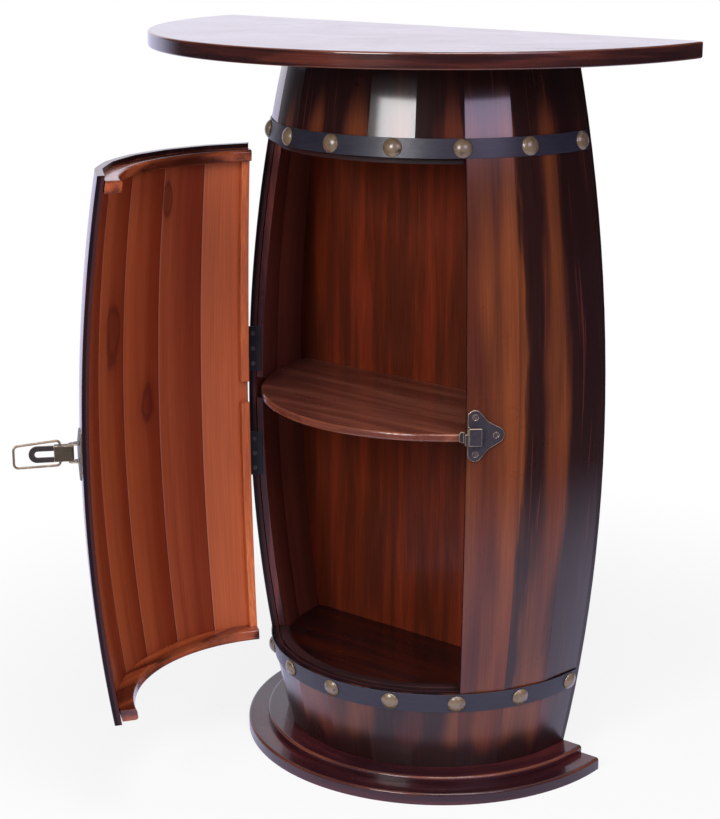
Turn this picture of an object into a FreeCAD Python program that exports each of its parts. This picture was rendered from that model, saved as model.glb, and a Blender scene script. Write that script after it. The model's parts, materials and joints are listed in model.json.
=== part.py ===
import FreeCAD, Part
import math
import os

os.makedirs("parts", exist_ok=True)

# Half-round barrel bar cabinet. Millimetres. +Z is up, -Y is the front, +X is the right-hand side.
# The origin lies on the barrel's axis at floor level. Angles are measured about that axis from
# the front, positive towards the right.

# ---- driving dimensions ----
overall_height = 790.0
back_thickness = 7.0

table_radius = 309.0
table_thickness = 16.0
table_edge_round = 2.0
table_corner_round = 8.0

plinth_lower_reach = 22.5     # past the upper step
plinth_lower_thickness = 13.0
plinth_upper_reach = 23.7     # past the barrel's foot
plinth_upper_thickness = 8.0
plinth_edge_round = 3.0

bulge_radius = 210.5          # outer radius of the barrel where it is widest
bulge_height = 384.0          # height of that widest place
stave_arc_radius = 1680.0     # long curve of a stave's outer face
stave_thickness = 8.5

hinge_side_angle = -48.9      # middle of the gap beside the hinges
latch_side_angle = 44.0       # middle of the gap beside the latch
hinge_side_gap = 2.0
latch_side_gap = 2.2
opening_bottom = 114.5        # top end of the short staves under the door
opening_top = 677.0           # bottom end of the short staves over the door
door_bottom_gap = 2.5
door_top_gap = 3.4
door_stave_count = 6
right_stave_count = 3
left_stave_count = 3

rail_depth = 16.5             # radial depth of the door's curved rails
rail_height = 12.0
rail_edge_round = 3.0
door_top_rail_inset = 5.0     # how far the staves stand above the top rail
door_bottom_rail_inset = 3.0
stop_rail_depth = 12.0        # curved rails of the carcass behind the door's ends
stop_rail_height = 20.0
stop_rail_lip = 3.5           # how far such a rail reaches past the short staves
head_rail_drop = 3.0          # how much further the upper one reaches
stile_thickness = 7.0
stile_width = 9.5
shelf_notch_height = 24.0
shelf_notch_rise = 2.5        # the notch's middle above the shelf's

shelf_top = 401.0
shelf_thickness = 8.5
shelf_front_gap = 5.0         # between the shelf's round edge and the staves
shelf_nosing_round = 2.5
cleat_height = 12.0
cleat_depth = 12.0
back_cleat_length = 300.0
side_cleat_start = 60.0       # angles from the front of the two curved side cleats
side_cleat_end = 84.0
floor_top = 98.0
board_thickness = 12.0

hoop_thickness = 1.2
upper_hoop_height = 686.8
upper_hoop_width = 19.0
lower_hoop_height = 102.8
lower_hoop_width = 21.4

nail_count = 9
nail_pitch_angle = 21.65
nail_head_radius = 9.5
nail_head_height = 5.0
nail_shank_radius = 1.2
nail_shank_length = 8.0

hinge_length = 50.0
hinge_spread = 60.0           # each hinge's distance above or below the widest place
hinge_leaf_thickness = 0.8
hinge_leaf_width = 13.5
hinge_knuckle_radius = 2.0
hinge_pin_radius = 1.0
hinge_pin_cap_radius = 1.6
hinge_pin_end = 2.0           # how far a pin reaches past its hinge's leaves
hinge_screw_head_radius = 2.4
hinge_screw_spacing = 17.0
hinge_screw_inset = 5.0

fitting_height = 403.0        # height of the latch and of its keeper
plate_thickness = 1.2
plate_lobe_radius = 7.3
plate_lobe_inset = 7.7        # from the plate's straight edge to the first two screws
plate_lobe_spacing = 38.6
plate_nose_reach = 29.0       # from the plate's straight edge to the third screw
plate_nose_radius = 8.6
plate_waist_reach = 21.0
plate_waist_half_height = 14.4
plate_lobe_end_angle = 40.0   # where a lobe's arc and the nose's arc run into the flanks
plate_nose_end_angle = 68.0
keeper_setback = 1.1          # keeper plate's straight edge, from the stave's edge
keeper_hook_start = 0.9       # from the plate's straight edge
keeper_hook_length = 12.8
keeper_hook_width = 18.0
keeper_hook_rise = 5.6
keeper_stop_width = 11.6
keeper_stop_reach = 5.9
keeper_stop_drop = 4.3        # how far the stop sits below the fitting's middle
keeper_bridge_lap = 3.0       # how far the strap's root runs in under the plate
latch_setback = 0.3           # latch plate's straight edge, from the stave's edge
latch_pivot_setback = 16.5    # from the middle of the gap
latch_pivot_rise = 7.7
latch_pin_radius = 1.2
latch_pin_overhang = 0.5      # of the pin past each ear
latch_pin_head_radius = 1.8
latch_pin_head_thickness = 0.6
latch_ear_gap = 16.8
latch_ear_radius = 3.0
latch_ear_foot = 7.0          # half width of an ear where it meets the plate
latch_ear_sink = 1.0          # how deep its foot reaches below the middle of the plate's sheet
lever_width = 15.8
lever_web_length = 16.9
lever_flange_depth = 8.0
lever_flange_round = 3.0
lever_web_offset = 2.4        # outer face of the lever's web from its pivot
lever_sheet = 1.2
lever_hub_inset = 0.5         # of the hub's ends from the outer faces of the flanges
tongue_width = 16.6
tongue_length = 41.2
tongue_start = 4.0            # from the lever's pivot
tongue_slot_start = 14.5
tongue_slot_end = 35.5
tongue_slot_half_width = 3.1
bail_wire_radius = 1.15
bail_bend_radius = 4.0        # of the wire's middle line
bail_near_half_height = 12.6  # of the wire's middle line, beside the lever
bail_far_half_height = 10.9
bail_length = 45.4
bail_pivot_reach = 11.0
bail_pivot_offset = -2.0
bail_end_inset = 1.5          # how far the wire's ends reach past the flanges' inner faces

plate_screw_head_radius = 2.8
plate_screw_head_height = 0.8
plate_screw_sink = 0.7        # how deep the head lies in the plate
plate_screw_length = 7.5
small_screw_radius = 1.0
stile_screw_length = 10.0
carcass_screw_radius = 2.0
carcass_screw_head_radius = 4.0
carcass_screw_head_height = 2.5
carcass_screw_bite = 9.0      # how deep such a screw goes into the second piece
carcass_screw_inset = 40.0    # from the staves' inner faces at the barrel's ends
carcass_screw_angles = (-74.0, -23.0, 23.0, 74.0)
plinth_screw_start = 1.0      # underside of such a screw's head above the floor

# ---- rest pose: the door stands open with the latch swung out ----
door_open_angle = 76.4
lever_rest_angle = 99.0       # from the surface towards the keeper, over the outward normal
bail_rest_angle = 86.7

# ---- clearances ----
glue_gap = 0.1                # between curved seats that are glued or screwed together
curved_gap = 0.4              # between a metal sheet and the curved wood under it
board_gap = 0.3               # round the edge of a board that is let into the barrel
running_gap = 0.05            # radial, of pins and screws in their holes
leaf_gap = 0.2                # each hinge leaf's distance from the middle of the gap
knuckle_gap = 0.3             # hinge knuckles from the wood and from each other
pin_head_gap = 0.1            # between the latch pin's heads and the ears
stop_clearance = 0.7          # between the closed door and the keeper's stop

# ---- derived sizes ----
barrel_bottom = plinth_lower_thickness + plinth_upper_thickness
barrel_top = overall_height - table_thickness
door_bottom = opening_bottom + door_bottom_gap
door_top = opening_top - door_top_gap
top_rail_top = door_top - door_top_rail_inset
bottom_rail_bottom = door_bottom + door_bottom_rail_inset
shelf_bottom = shelf_top - shelf_thickness
notch_middle = shelf_top - shelf_thickness / 2 + shelf_notch_rise
notch_bottom = notch_middle - shelf_notch_height / 2
notch_top = notch_middle + shelf_notch_height / 2
sill_top = opening_bottom + stop_rail_lip
head_rail_bottom = opening_top - stop_rail_lip - head_rail_drop
hinge_axis_radius = bulge_radius + hinge_knuckle_radius + knuckle_gap
keeper_edge = latch_side_gap / 2 + keeper_setback
latch_edge = -latch_side_gap / 2 - latch_setback
screw_seat = curved_gap + plate_thickness - plate_screw_sink
table_screw_start = barrel_top - board_thickness

UP = FreeCAD.Vector(0, 0, 1)
ORIGIN = FreeCAD.Vector(0, 0, 0)
FAR = 1000.0                  # longer than anything here
OVERCUT = 1.0                 # how far a hole's cutter reaches past the wood
BORE_REACH = 30.0             # half the length of a cutter for a bore through the latch
SHEET_MARGIN = 5.0            # round a plate, of the sheet that it is cut from
NEAR = 1.0                    # an edge this near to a face belongs to it


# ---- helpers ----
def vec(x, y, z=0.0):
    return FreeCAD.Vector(x, y, z)


def save(shape, name):
    shape.exportStep(os.path.join("parts", name + ".step"))


def group(shapes):
    return Part.makeCompound(shapes)


def skin_radius(z, depth=0.0):
    """Radius of the barrel at height z, at a depth inside its outer skin."""
    arc = stave_arc_radius - depth
    return math.sqrt(arc ** 2 - (z - bulge_height) ** 2) - (stave_arc_radius - bulge_radius)


plinth_upper_radius = skin_radius(barrel_bottom) + plinth_upper_reach
plinth_lower_radius = plinth_upper_radius + plinth_lower_reach
shelf_radius = skin_radius(shelf_bottom, stave_thickness) - shelf_front_gap


def turned(shape, angle):
    """A shape made along +X, turned so that it lies at an angle from the front."""
    shape.rotate(ORIGIN, UP, angle - 90.0)
    return shape


def skin_arc(depth, low, high):
    middle = (low + high) / 2
    points = [vec(skin_radius(z, depth), 0, z) for z in (low, middle, high)]
    return Part.Arc(*points).toShape()


def bent_bar(low, high, outer_depth, inner_depth, start, end):
    """A piece that follows the barrel between two depths, two heights and two angles."""
    outer = skin_arc(outer_depth, low, high)
    inner = skin_arc(inner_depth, low, high)
    top = Part.makeLine(outer.Vertexes[-1].Point, inner.Vertexes[-1].Point)
    bottom = Part.makeLine(inner.Vertexes[0].Point, outer.Vertexes[0].Point)
    face = Part.Face(Part.Wire(Part.__sortEdges__([outer, top, inner, bottom])))
    return turned(face.revolve(ORIGIN, UP, end - start), start)


def round_inner_edges(bar, depth, heights, size):
    """Round the long edges that a bent bar shows to the inside."""
    edges = [e for e in bar.Edges if any(is_round_edge(e, skin_radius(z, depth), z) for z in heights)]
    return bar.makeFillet(size, edges)


def gap_slab(angle, width, low, high):
    """A flat slab in the plane through the axis at an angle, to cut a gap of that width."""
    slab = Part.makeBox(FAR, width, high - low, vec(0, -width / 2, low))
    return turned(slab, angle)


def half_disc(radius, low, thickness, back):
    """A board with a round front, cut straight at y = back."""
    disc = Part.makeCylinder(radius, thickness, vec(0, 0, low))
    keep = Part.makeBox(2 * FAR, FAR + back, thickness, vec(-FAR, -FAR, low))
    return disc.common(keep)


def is_round_edge(edge, radius, z):
    curve = edge.Curve
    flat = abs(edge.BoundBox.ZMin - z) < 1e-6 and abs(edge.BoundBox.ZMax - z) < 1e-6
    return flat and isinstance(curve, Part.Circle) and abs(curve.Radius - radius) < 1e-6


def round_front(board, radius, heights, size):
    edges = [e for e in board.Edges if any(is_round_edge(e, radius, z) for z in heights)]
    return board.makeFillet(size, edges)


def on_skin(shape, angle, z, depth=0.0):
    """Place a shape whose +X is outward and +Y sideways, at a point of the barrel's skin."""
    radius = skin_radius(z, depth)
    shape.translate(vec(radius, 0, z))
    return turned(shape, angle)


def screw(head_radius, head_height, shank_radius, shank_length):
    """A screw along -X: its head's underside lies at x = 0."""
    head = Part.makeCylinder(head_radius, head_height, ORIGIN, vec(1, 0, 0))
    shank = Part.makeCylinder(shank_radius, shank_length, vec(-shank_length, 0, 0), vec(1, 0, 0))
    return head.fuse(shank).removeSplitter()


# ---- boards ----
def table_top():
    board = half_disc(table_radius, barrel_top, table_thickness, back_thickness)
    corners = [e for e in board.Edges
               if e.BoundBox.ZLength > table_thickness / 2 and e.BoundBox.YMax > back_thickness - NEAR]
    board = board.makeFillet(table_corner_round, corners)
    return round_front(board, table_radius, (barrel_top, overall_height), table_edge_round)


def plinth_lower_step():
    board = half_disc(plinth_lower_radius, 0, plinth_lower_thickness, back_thickness)
    return round_front(board, plinth_lower_radius, (plinth_lower_thickness,), plinth_edge_round)


def plinth_upper_step():
    low = plinth_lower_thickness
    board = half_disc(plinth_upper_radius, low, plinth_upper_thickness, back_thickness)
    return round_front(board, plinth_upper_radius, (barrel_bottom,), plinth_edge_round)


def inner_board(low):
    """A half-round board let in between the staves, against the back panel."""
    narrow = min(skin_radius(low, stave_thickness), skin_radius(low + board_thickness, stave_thickness))
    return half_disc(narrow - board_gap, low, board_thickness, 0)


def back_panel():
    right = skin_arc(0, barrel_bottom, barrel_top)
    left = right.copy().mirror(ORIGIN, vec(1, 0, 0))
    top = Part.makeLine(right.Vertexes[-1].Point, left.Vertexes[-1].Point)
    bottom = Part.makeLine(left.Vertexes[0].Point, right.Vertexes[0].Point)
    face = Part.Face(Part.Wire(Part.__sortEdges__([right, top, left, bottom])))
    return face.extrude(vec(0, back_thickness, 0))


def shelf():
    board = half_disc(shelf_radius, shelf_bottom, shelf_thickness, 0)
    return round_front(board, shelf_radius, (shelf_bottom, shelf_top), shelf_nosing_round)


def shelf_cleats():
    low = shelf_bottom - cleat_height
    back = Part.makeBox(back_cleat_length, cleat_depth, cleat_height,
                        vec(-back_cleat_length / 2, -cleat_depth, low))
    sides = []
    for side in (-1, 1):
        start, end = sorted((side * side_cleat_start, side * side_cleat_end))
        inner = stave_thickness + cleat_depth
        sides.append(bent_bar(low, shelf_bottom, stave_thickness + glue_gap, inner, start, end))
    return group([back] + sides)


# ---- nails and screws ----
def nail_places(z):
    middle = (nail_count - 1) / 2
    return [((index - middle) * nail_pitch_angle, z) for index in range(nail_count)]


def all_nail_places():
    return nail_places(upper_hoop_height) + nail_places(lower_hoop_height)


def square_to_skin(shape, angle, z):
    """Like on_skin, but also tilted square to the stave's long curve, on top of the hoop."""
    tilt = math.degrees(math.asin((z - bulge_height) / stave_arc_radius))
    shape.rotate(ORIGIN, vec(0, 1, 0), -tilt)
    return on_skin(shape, angle, z, -(glue_gap + hoop_thickness + glue_gap))


def nail():
    sphere_radius = (nail_head_radius ** 2 + nail_head_height ** 2) / (2 * nail_head_height)
    sphere = Part.makeSphere(sphere_radius, vec(nail_head_height - sphere_radius, 0, 0))
    keep = Part.makeBox(FAR, FAR, FAR, vec(0, -FAR / 2, -FAR / 2))
    shank = Part.makeCylinder(nail_shank_radius, nail_shank_length, ORIGIN, vec(-1, 0, 0))
    return sphere.common(keep).fuse(shank).removeSplitter()


def hoop_nails():
    return group([square_to_skin(nail(), angle, z) for angle, z in all_nail_places()])


def nail_holes(places):
    holes = []
    for angle, z in places:
        hole = Part.makeCylinder(nail_shank_radius + running_gap, nail_shank_length + 2 * OVERCUT,
                                 vec(OVERCUT, 0, 0), vec(-1, 0, 0))
        holes.append(square_to_skin(hole, angle, z))
    return holes


def plate_points(edge, direction):
    """The three screw places of a trefoil plate, sideways and up from its middle."""
    lobe = edge + direction * plate_lobe_inset
    nose = edge + direction * plate_nose_reach
    return [(lobe, plate_lobe_spacing / 2), (lobe, -plate_lobe_spacing / 2), (nose, 0)]


def plate_screw_spot(side, up):
    """Angle and height of a screw place on the barrel, beside the latch-side gap."""
    z = fitting_height + up
    return latch_side_angle + math.degrees(side / skin_radius(fitting_height)), z


def at_plate_points(shape, edge, direction):
    """Copies of a shape whose x = 0 lies on the screw heads' seat, one at each screw place."""
    copies = []
    for side, up in plate_points(edge, direction):
        angle, z = plate_screw_spot(side, up)
        copies.append(on_skin(shape.copy(), angle, z, -screw_seat))
    return copies


def plate_screws(edge, direction):
    piece = screw(plate_screw_head_radius, plate_screw_head_height,
                  small_screw_radius, plate_screw_length)
    return at_plate_points(piece, edge, direction)


def plate_screw_holes(edge, direction):
    shank = Part.makeCylinder(small_screw_radius + running_gap, plate_screw_length + OVERCUT,
                              vec(OVERCUT / 2, 0, 0), vec(-1, 0, 0))
    head = Part.makeCylinder(plate_screw_head_radius + running_gap, 4 * OVERCUT, ORIGIN, vec(1, 0, 0))
    return at_plate_points(shank.fuse(head), edge, direction)


# ---- staves ----
def even_angles(start, end, count):
    step = (end - start) / count
    return [(start + index * step, start + (index + 1) * step) for index in range(count)]


def stave(low, high, start, end, cuts=()):
    board = bent_bar(low, high, 0, stave_thickness, start, end)
    inside = [spot for spot in all_nail_places() if start < spot[0] < end and low < spot[1] < high]
    tools = nail_holes(inside) + list(cuts)
    return board.cut(group(tools)) if tools else board


def save_staves(prefix, low, high, angles, first_cuts=(), last_cuts=()):
    for index, (start, end) in enumerate(angles):
        cuts = list(first_cuts) if index == 0 else []
        cuts += list(last_cuts) if index == len(angles) - 1 else []
        save(placed(stave(low, high, start, end, cuts), prefix), "%s_stave_%d" % (prefix, index + 1))


def placed(shape, prefix):
    return open_door(shape) if prefix == "door" else shape


def hoop(z, width):
    inner = -glue_gap
    band = bent_bar(z - width / 2, z + width / 2, inner - hoop_thickness, inner, -90, 90)
    return band.cut(group(nail_holes(nail_places(z))))


# ---- hinges ----
def hinge_heights():
    return [bulge_height - hinge_spread, bulge_height + hinge_spread]


def hinge_point():
    angle = math.radians(hinge_side_angle)
    return vec(hinge_axis_radius * math.sin(angle), -hinge_axis_radius * math.cos(angle))


def open_door(shape):
    """Swing a piece of the closed door to the rest pose."""
    shape.rotate(hinge_point(), UP, -door_open_angle)
    return shape


def hinge_leaf(middle, side, knuckles):
    """One leaf: a flat plate in the gap with knuckles at its outer edge. side is -1 or 1."""
    low = middle - hinge_length / 2
    near = leaf_gap if side > 0 else -leaf_gap - hinge_leaf_thickness
    outer = bulge_radius - knuckle_gap
    leaf = Part.makeBox(hinge_leaf_width, hinge_leaf_thickness, hinge_length,
                        vec(outer - hinge_leaf_width, near, low))
    third = hinge_length / 3
    for index in knuckles:
        start = low + index * third + knuckle_gap / 2
        length = third - knuckle_gap
        web = Part.makeBox(hinge_axis_radius - outer, hinge_leaf_thickness, length, vec(outer, near, start))
        knuckle = Part.makeCylinder(hinge_knuckle_radius, length, vec(hinge_axis_radius, 0, start))
        leaf = leaf.fuse([web, knuckle])
    bore = Part.makeCylinder(hinge_pin_radius + running_gap, hinge_length, vec(hinge_axis_radius, 0, low))
    holes = [hinge_screw_tool(z, side, hinge_screw_head_radius + running_gap, hinge_leaf_thickness)
             for z in hinge_screw_heights(middle)]
    return turned(leaf.cut([bore] + holes), hinge_side_angle)


def hinge_screw_heights(middle):
    return [middle + step * hinge_screw_spacing for step in (-1, 0, 1)]


def hinge_screw_tool(z, side, radius, length):
    """A round bar across one leaf, from the leaf's inner face into the wood."""
    start = vec(bulge_radius - knuckle_gap - hinge_screw_inset, side * leaf_gap, z)
    return Part.makeCylinder(radius, length, start, vec(0, side, 0))


def hinge_screws(side):
    pieces = []
    for middle in hinge_heights():
        for z in hinge_screw_heights(middle):
            head = hinge_screw_tool(z, side, hinge_screw_head_radius, hinge_leaf_thickness)
            shank = hinge_screw_tool(z, side, small_screw_radius, stile_screw_length)
            pieces.append(turned(head.fuse(shank).removeSplitter(), hinge_side_angle))
    return pieces


def hinge_screw_holes(side):
    tools = []
    for middle in hinge_heights():
        for z in hinge_screw_heights(middle):
            hole = hinge_screw_tool(z, side, small_screw_radius + running_gap, stile_screw_length + OVERCUT)
            tools.append(turned(hole, hinge_side_angle))
    return tools


def hinge_pins():
    pins = []
    for middle in hinge_heights():
        low = middle - hinge_length / 2
        pin = Part.makeCylinder(hinge_pin_radius, hinge_length, vec(hinge_axis_radius, 0, low))
        beyond = hinge_pin_cap_radius + knuckle_gap / 2
        caps = [Part.makeSphere(hinge_pin_cap_radius, vec(hinge_axis_radius, 0, z))
                for z in (low - beyond, low + hinge_length + beyond)]
        ends = [Part.makeCylinder(hinge_pin_radius, hinge_pin_end, vec(hinge_axis_radius, 0, z))
                for z in (low - hinge_pin_end, low + hinge_length)]
        pins.append(turned(pin.fuse(ends + caps).removeSplitter(), hinge_side_angle))
    return group(pins)


# ---- latch and keeper, beside the latch-side gap ----
def fitting_place(shape):
    """From the fittings' own frame (+X outward, +Y to the right, z = 0 in their middle)."""
    return on_skin(shape, latch_side_angle, fitting_height)


def trefoil(edge, direction):
    """Outline of a three-lobed plate, in the fittings' Y and Z, straight along its edge."""
    half = plate_lobe_spacing / 2
    lobe = edge + direction * plate_lobe_radius
    nose = edge + direction * plate_nose_reach

    def lobe_point(angle, sign):
        side = math.cos(math.radians(angle)) * plate_lobe_radius
        up = math.sin(math.radians(angle)) * plate_lobe_radius
        return vec(0, lobe + direction * side, sign * (half + up))

    def nose_point(angle):
        side = math.cos(math.radians(angle)) * plate_nose_radius
        return vec(0, nose + direction * side, math.sin(math.radians(angle)) * plate_nose_radius)

    def lobe_arc(sign):
        middle = (180 + lobe_end) / 2
        return Part.Arc(lobe_point(180, sign), lobe_point(middle, sign), lobe_point(lobe_end, sign)).toShape()

    def flank(sign):
        waist = vec(0, edge + direction * plate_waist_reach, sign * plate_waist_half_height)
        return Part.makePolygon([lobe_point(lobe_end, sign), waist, nose_point(sign * nose_end)]).Edges

    lobe_end, nose_end = plate_lobe_end_angle, plate_nose_end_angle
    tip = Part.Arc(nose_point(nose_end), nose_point(0), nose_point(-nose_end)).toShape()
    straight = Part.makeLine(lobe_point(180, 1), lobe_point(180, -1))
    edges = [straight, lobe_arc(1), lobe_arc(-1), tip] + flank(1) + flank(-1)
    return Part.Face(Part.Wire(Part.__sortEdges__(edges)))


def curved_plate(edge, direction):
    """A trefoil plate pressed to the barrel's curve, with its screw holes."""
    block = trefoil(edge, direction).extrude(vec(2 * BORE_REACH, 0, 0))
    block.translate(vec(-BORE_REACH, 0, 0))
    reach = math.degrees((plate_nose_reach + plate_nose_radius + 4 * SHEET_MARGIN) / bulge_radius)
    tall = plate_lobe_spacing / 2 + plate_lobe_radius + SHEET_MARGIN
    sheet = bent_bar(fitting_height - tall, fitting_height + tall,
                     -(curved_gap + plate_thickness), -curved_gap,
                     latch_side_angle - reach, latch_side_angle + reach)
    plate = sheet.common(fitting_place(block))
    return plate.cut(group(plate_screw_holes(edge, direction)))


def keeper_plate():
    """The trefoil with its raised hook, and a strap over the stave's edge to the door's stop."""
    sheet = plate_thickness
    face = curved_gap + sheet
    start = keeper_edge + keeper_hook_start
    half = keeper_hook_width / 2
    root = Part.makeBox(keeper_hook_rise, sheet, keeper_hook_width, vec(face - sheet / 2, start, -half))
    lip = Part.makeBox(sheet, keeper_hook_length, keeper_hook_width,
                       vec(face + keeper_hook_rise - sheet, start, -half))
    low = -keeper_stop_drop - keeper_stop_width / 2
    depth = stave_thickness + stop_clearance
    strap_end = latch_side_gap / 2 - glue_gap
    bridge = Part.makeBox(sheet, keeper_setback + keeper_bridge_lap, keeper_stop_width,
                          vec(curved_gap, strap_end - sheet, low))
    strap = Part.makeBox(curved_gap + depth + sheet, sheet, keeper_stop_width,
                         vec(-depth - sheet, strap_end - sheet, low))
    stop = Part.makeBox(sheet, keeper_stop_reach, keeper_stop_width,
                        vec(-depth - sheet, strap_end - keeper_stop_reach, low))
    tip = [e for e in stop.Edges
           if e.BoundBox.XLength > sheet / 2 and e.BoundBox.YMax < strap_end - keeper_stop_reach + NEAR]
    stop = stop.makeFillet(keeper_stop_reach / 2, tip)
    extra = fitting_place(root.fuse([lip, bridge, strap, stop]))
    return curved_plate(keeper_edge, 1).fuse(extra).removeSplitter()


def ear(sign):
    """One ear of the latch plate: a cheek that narrows from its foot to a round end."""
    thickness = plate_thickness
    low = latch_ear_gap / 2 if sign > 0 else -latch_ear_gap / 2 - thickness
    y = -latch_pivot_setback
    foot = curved_gap + plate_thickness / 2 - latch_ear_sink
    corners = [(foot, y - latch_ear_foot), (foot, y + latch_ear_foot),
               (latch_pivot_rise, y + latch_ear_radius), (latch_pivot_rise, y - latch_ear_radius)]
    outline = Part.makePolygon([vec(a, b, low) for a, b in corners + corners[:1]])
    cheek = Part.Face(outline).extrude(vec(0, 0, thickness))
    return cheek.fuse(Part.makeCylinder(latch_ear_radius, thickness, vec(latch_pivot_rise, y, low)))


def long_bore(radius, x, y):
    """A cutter for a bore along Z through the latch."""
    return Part.makeCylinder(radius + running_gap, 2 * BORE_REACH, vec(x, y, -BORE_REACH))


def latch_plate():
    ears = ear(1).fuse(ear(-1))
    bore = long_bore(latch_pin_radius, latch_pivot_rise, -latch_pivot_setback)
    return curved_plate(latch_edge, -1).fuse(fitting_place(ears.cut(bore))).removeSplitter()


def latch_pin():
    length = latch_ear_gap + 2 * plate_thickness
    start = -length / 2 - latch_pin_overhang
    pin = Part.makeCylinder(latch_pin_radius, length + 2 * latch_pin_overhang, vec(0, 0, start))
    head_start = length / 2 + pin_head_gap
    heads = [Part.makeCylinder(latch_pin_head_radius, latch_pin_head_thickness, vec(0, 0, z))
             for z in (head_start, -head_start - latch_pin_head_thickness)]
    pin = pin.fuse(heads).removeSplitter()
    pin.translate(vec(latch_pivot_rise, -latch_pivot_setback, 0))
    return fitting_place(pin)


def from_pivot(shape):
    """From the lever's frame (+X along the lever, +Y its outer side) to the open latch."""
    shape.rotate(ORIGIN, UP, 90.0 - lever_rest_angle)
    shape.translate(vec(latch_pivot_rise, -latch_pivot_setback, 0))
    return fitting_place(shape)


def latch_lever():
    half = lever_width / 2
    outer = lever_web_offset
    web = Part.makeBox(lever_web_length, lever_sheet, lever_width, vec(0, outer - lever_sheet, -half))
    flanges = []
    for low in (-half, half - lever_sheet):
        flange = Part.makeBox(lever_web_length + outer, lever_flange_depth, lever_sheet,
                              vec(-outer, outer - lever_flange_depth, low))
        corners = [e for e in flange.Edges
                   if e.BoundBox.ZLength > lever_sheet / 2 and e.BoundBox.YMax < outer - NEAR]
        flanges.append(flange.makeFillet(lever_flange_round, corners))
    hub = Part.makeCylinder(outer, lever_width - 2 * lever_hub_inset, vec(0, 0, -half + lever_hub_inset))
    bore = long_bore(latch_pin_radius, 0, 0)
    bail_hole = long_bore(bail_wire_radius, bail_pivot_reach, bail_pivot_offset)
    return from_pivot(web.fuse(flanges + [hub]).cut([bore, bail_hole]).removeSplitter())


def latch_tongue():
    """The slotted finger tab, under the lever's web and out past its end."""
    half = tongue_width / 2
    top = lever_web_offset - lever_sheet
    low = top - lever_sheet
    length = tongue_length - half
    inside = lever_width / 2 - lever_sheet - glue_gap
    body = Part.makeBox(length, lever_sheet, tongue_width, vec(0, low, -half))
    end = Part.makeCylinder(half, lever_sheet, vec(length, low, 0), vec(0, 1, 0))
    start = Part.makeBox(tongue_start, FAR, FAR, vec(0, -FAR / 2, -FAR / 2))
    neck = [Part.makeBox(lever_web_length + glue_gap, FAR, half, vec(0, -FAR / 2, z))
            for z in (inside, -inside - half)]
    radius = tongue_slot_half_width
    ends = [tongue_slot_start + radius, tongue_slot_end - radius]
    slot = [Part.makeCylinder(radius, FAR, vec(x, -FAR / 2, 0), vec(0, 1, 0)) for x in ends]
    slot.append(Part.makeBox(ends[1] - ends[0], FAR, 2 * radius, vec(ends[0], -FAR / 2, -radius)))
    return from_pivot(body.fuse(end).cut([start] + neck + slot).removeSplitter())


def bail_path():
    """The wire's middle line in the bail's frame: its pivot is the Z axis, its reach is +X."""
    bend = bail_bend_radius
    near, far, reach = bail_near_half_height, bail_far_half_height, bail_length
    inner = lever_width / 2 - lever_sheet - bail_end_inset
    taper = math.degrees(math.atan2(near - far, reach))
    edges = []
    for sign in (1, -1):
        corners = [(vec(0, 0, sign * inner), None), (vec(0, 0, sign * near), 90 + taper),
                   (vec(reach, 0, sign * far), 90 - taper), (vec(reach, 0, 0), None)]
        edges += rounded_line(corners, bend)
    return Part.Wire(Part.__sortEdges__(edges)), inner


def rounded_line(corners, radius):
    """Straight runs through the given points, with an arc at each point that has an inner angle."""
    edges = []
    start = corners[0][0]
    for index, (point, angle) in enumerate(corners[1:], 1):
        if angle is None:
            edges.append(Part.makeLine(start, point))
            continue
        before = (corners[index - 1][0] - point).normalize()
        after = (corners[index + 1][0] - point).normalize()
        half = math.radians(angle / 2)
        trim = radius / math.tan(half)
        middle = (before + after).normalize()
        nearest = radius / math.sin(half) - radius
        arc_start, start_again = point + before * trim, point + after * trim
        edges.append(Part.makeLine(start, arc_start))
        edges.append(Part.Arc(arc_start, point + middle * nearest, start_again).toShape())
        start = start_again
    return edges


def latch_bail():
    path, inner = bail_path()
    ring = Part.Wire(Part.makeCircle(bail_wire_radius, vec(0, 0, inner), UP))
    wire = path.makePipeShell([ring], True, False)
    wire.rotate(ORIGIN, UP, lever_rest_angle - bail_rest_angle)
    wire.translate(vec(bail_pivot_reach, bail_pivot_offset, 0))
    return from_pivot(wire)


# ---- hidden carcass screws ----
def carcass_screw_spots():
    radius = min(skin_radius(z, stave_thickness) for z in (barrel_bottom, barrel_top)) - carcass_screw_inset
    angles = [math.radians(angle) for angle in carcass_screw_angles]
    return [(radius * math.sin(angle), -radius * math.cos(angle)) for angle in angles]


def upright_screw(x, y, head_z, length):
    """A screw that goes up from its head, whose underside is at head_z."""
    head = Part.makeCylinder(carcass_screw_head_radius, carcass_screw_head_height, vec(x, y, head_z))
    shank = Part.makeCylinder(carcass_screw_radius, length, vec(x, y, head_z))
    return head.fuse(shank).removeSplitter()


def carcass_screws():
    pieces = []
    for x, y in carcass_screw_spots():
        pieces.append(upright_screw(x, y, table_screw_start, board_thickness + carcass_screw_bite))
        pieces.append(upright_screw(x, y, plinth_screw_start, barrel_bottom + carcass_screw_bite))
    return group(pieces)


def carcass_holes(start, length):
    tools = []
    for x, y in carcass_screw_spots():
        tools.append(Part.makeCylinder(carcass_screw_head_radius + running_gap,
                                       carcass_screw_head_height + 2 * running_gap + 2 * OVERCUT,
                                       vec(x, y, start - 2 * OVERCUT)))
        tools.append(Part.makeCylinder(carcass_screw_radius + running_gap, length + OVERCUT,
                                       vec(x, y, start)))
    return group(tools)


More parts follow.
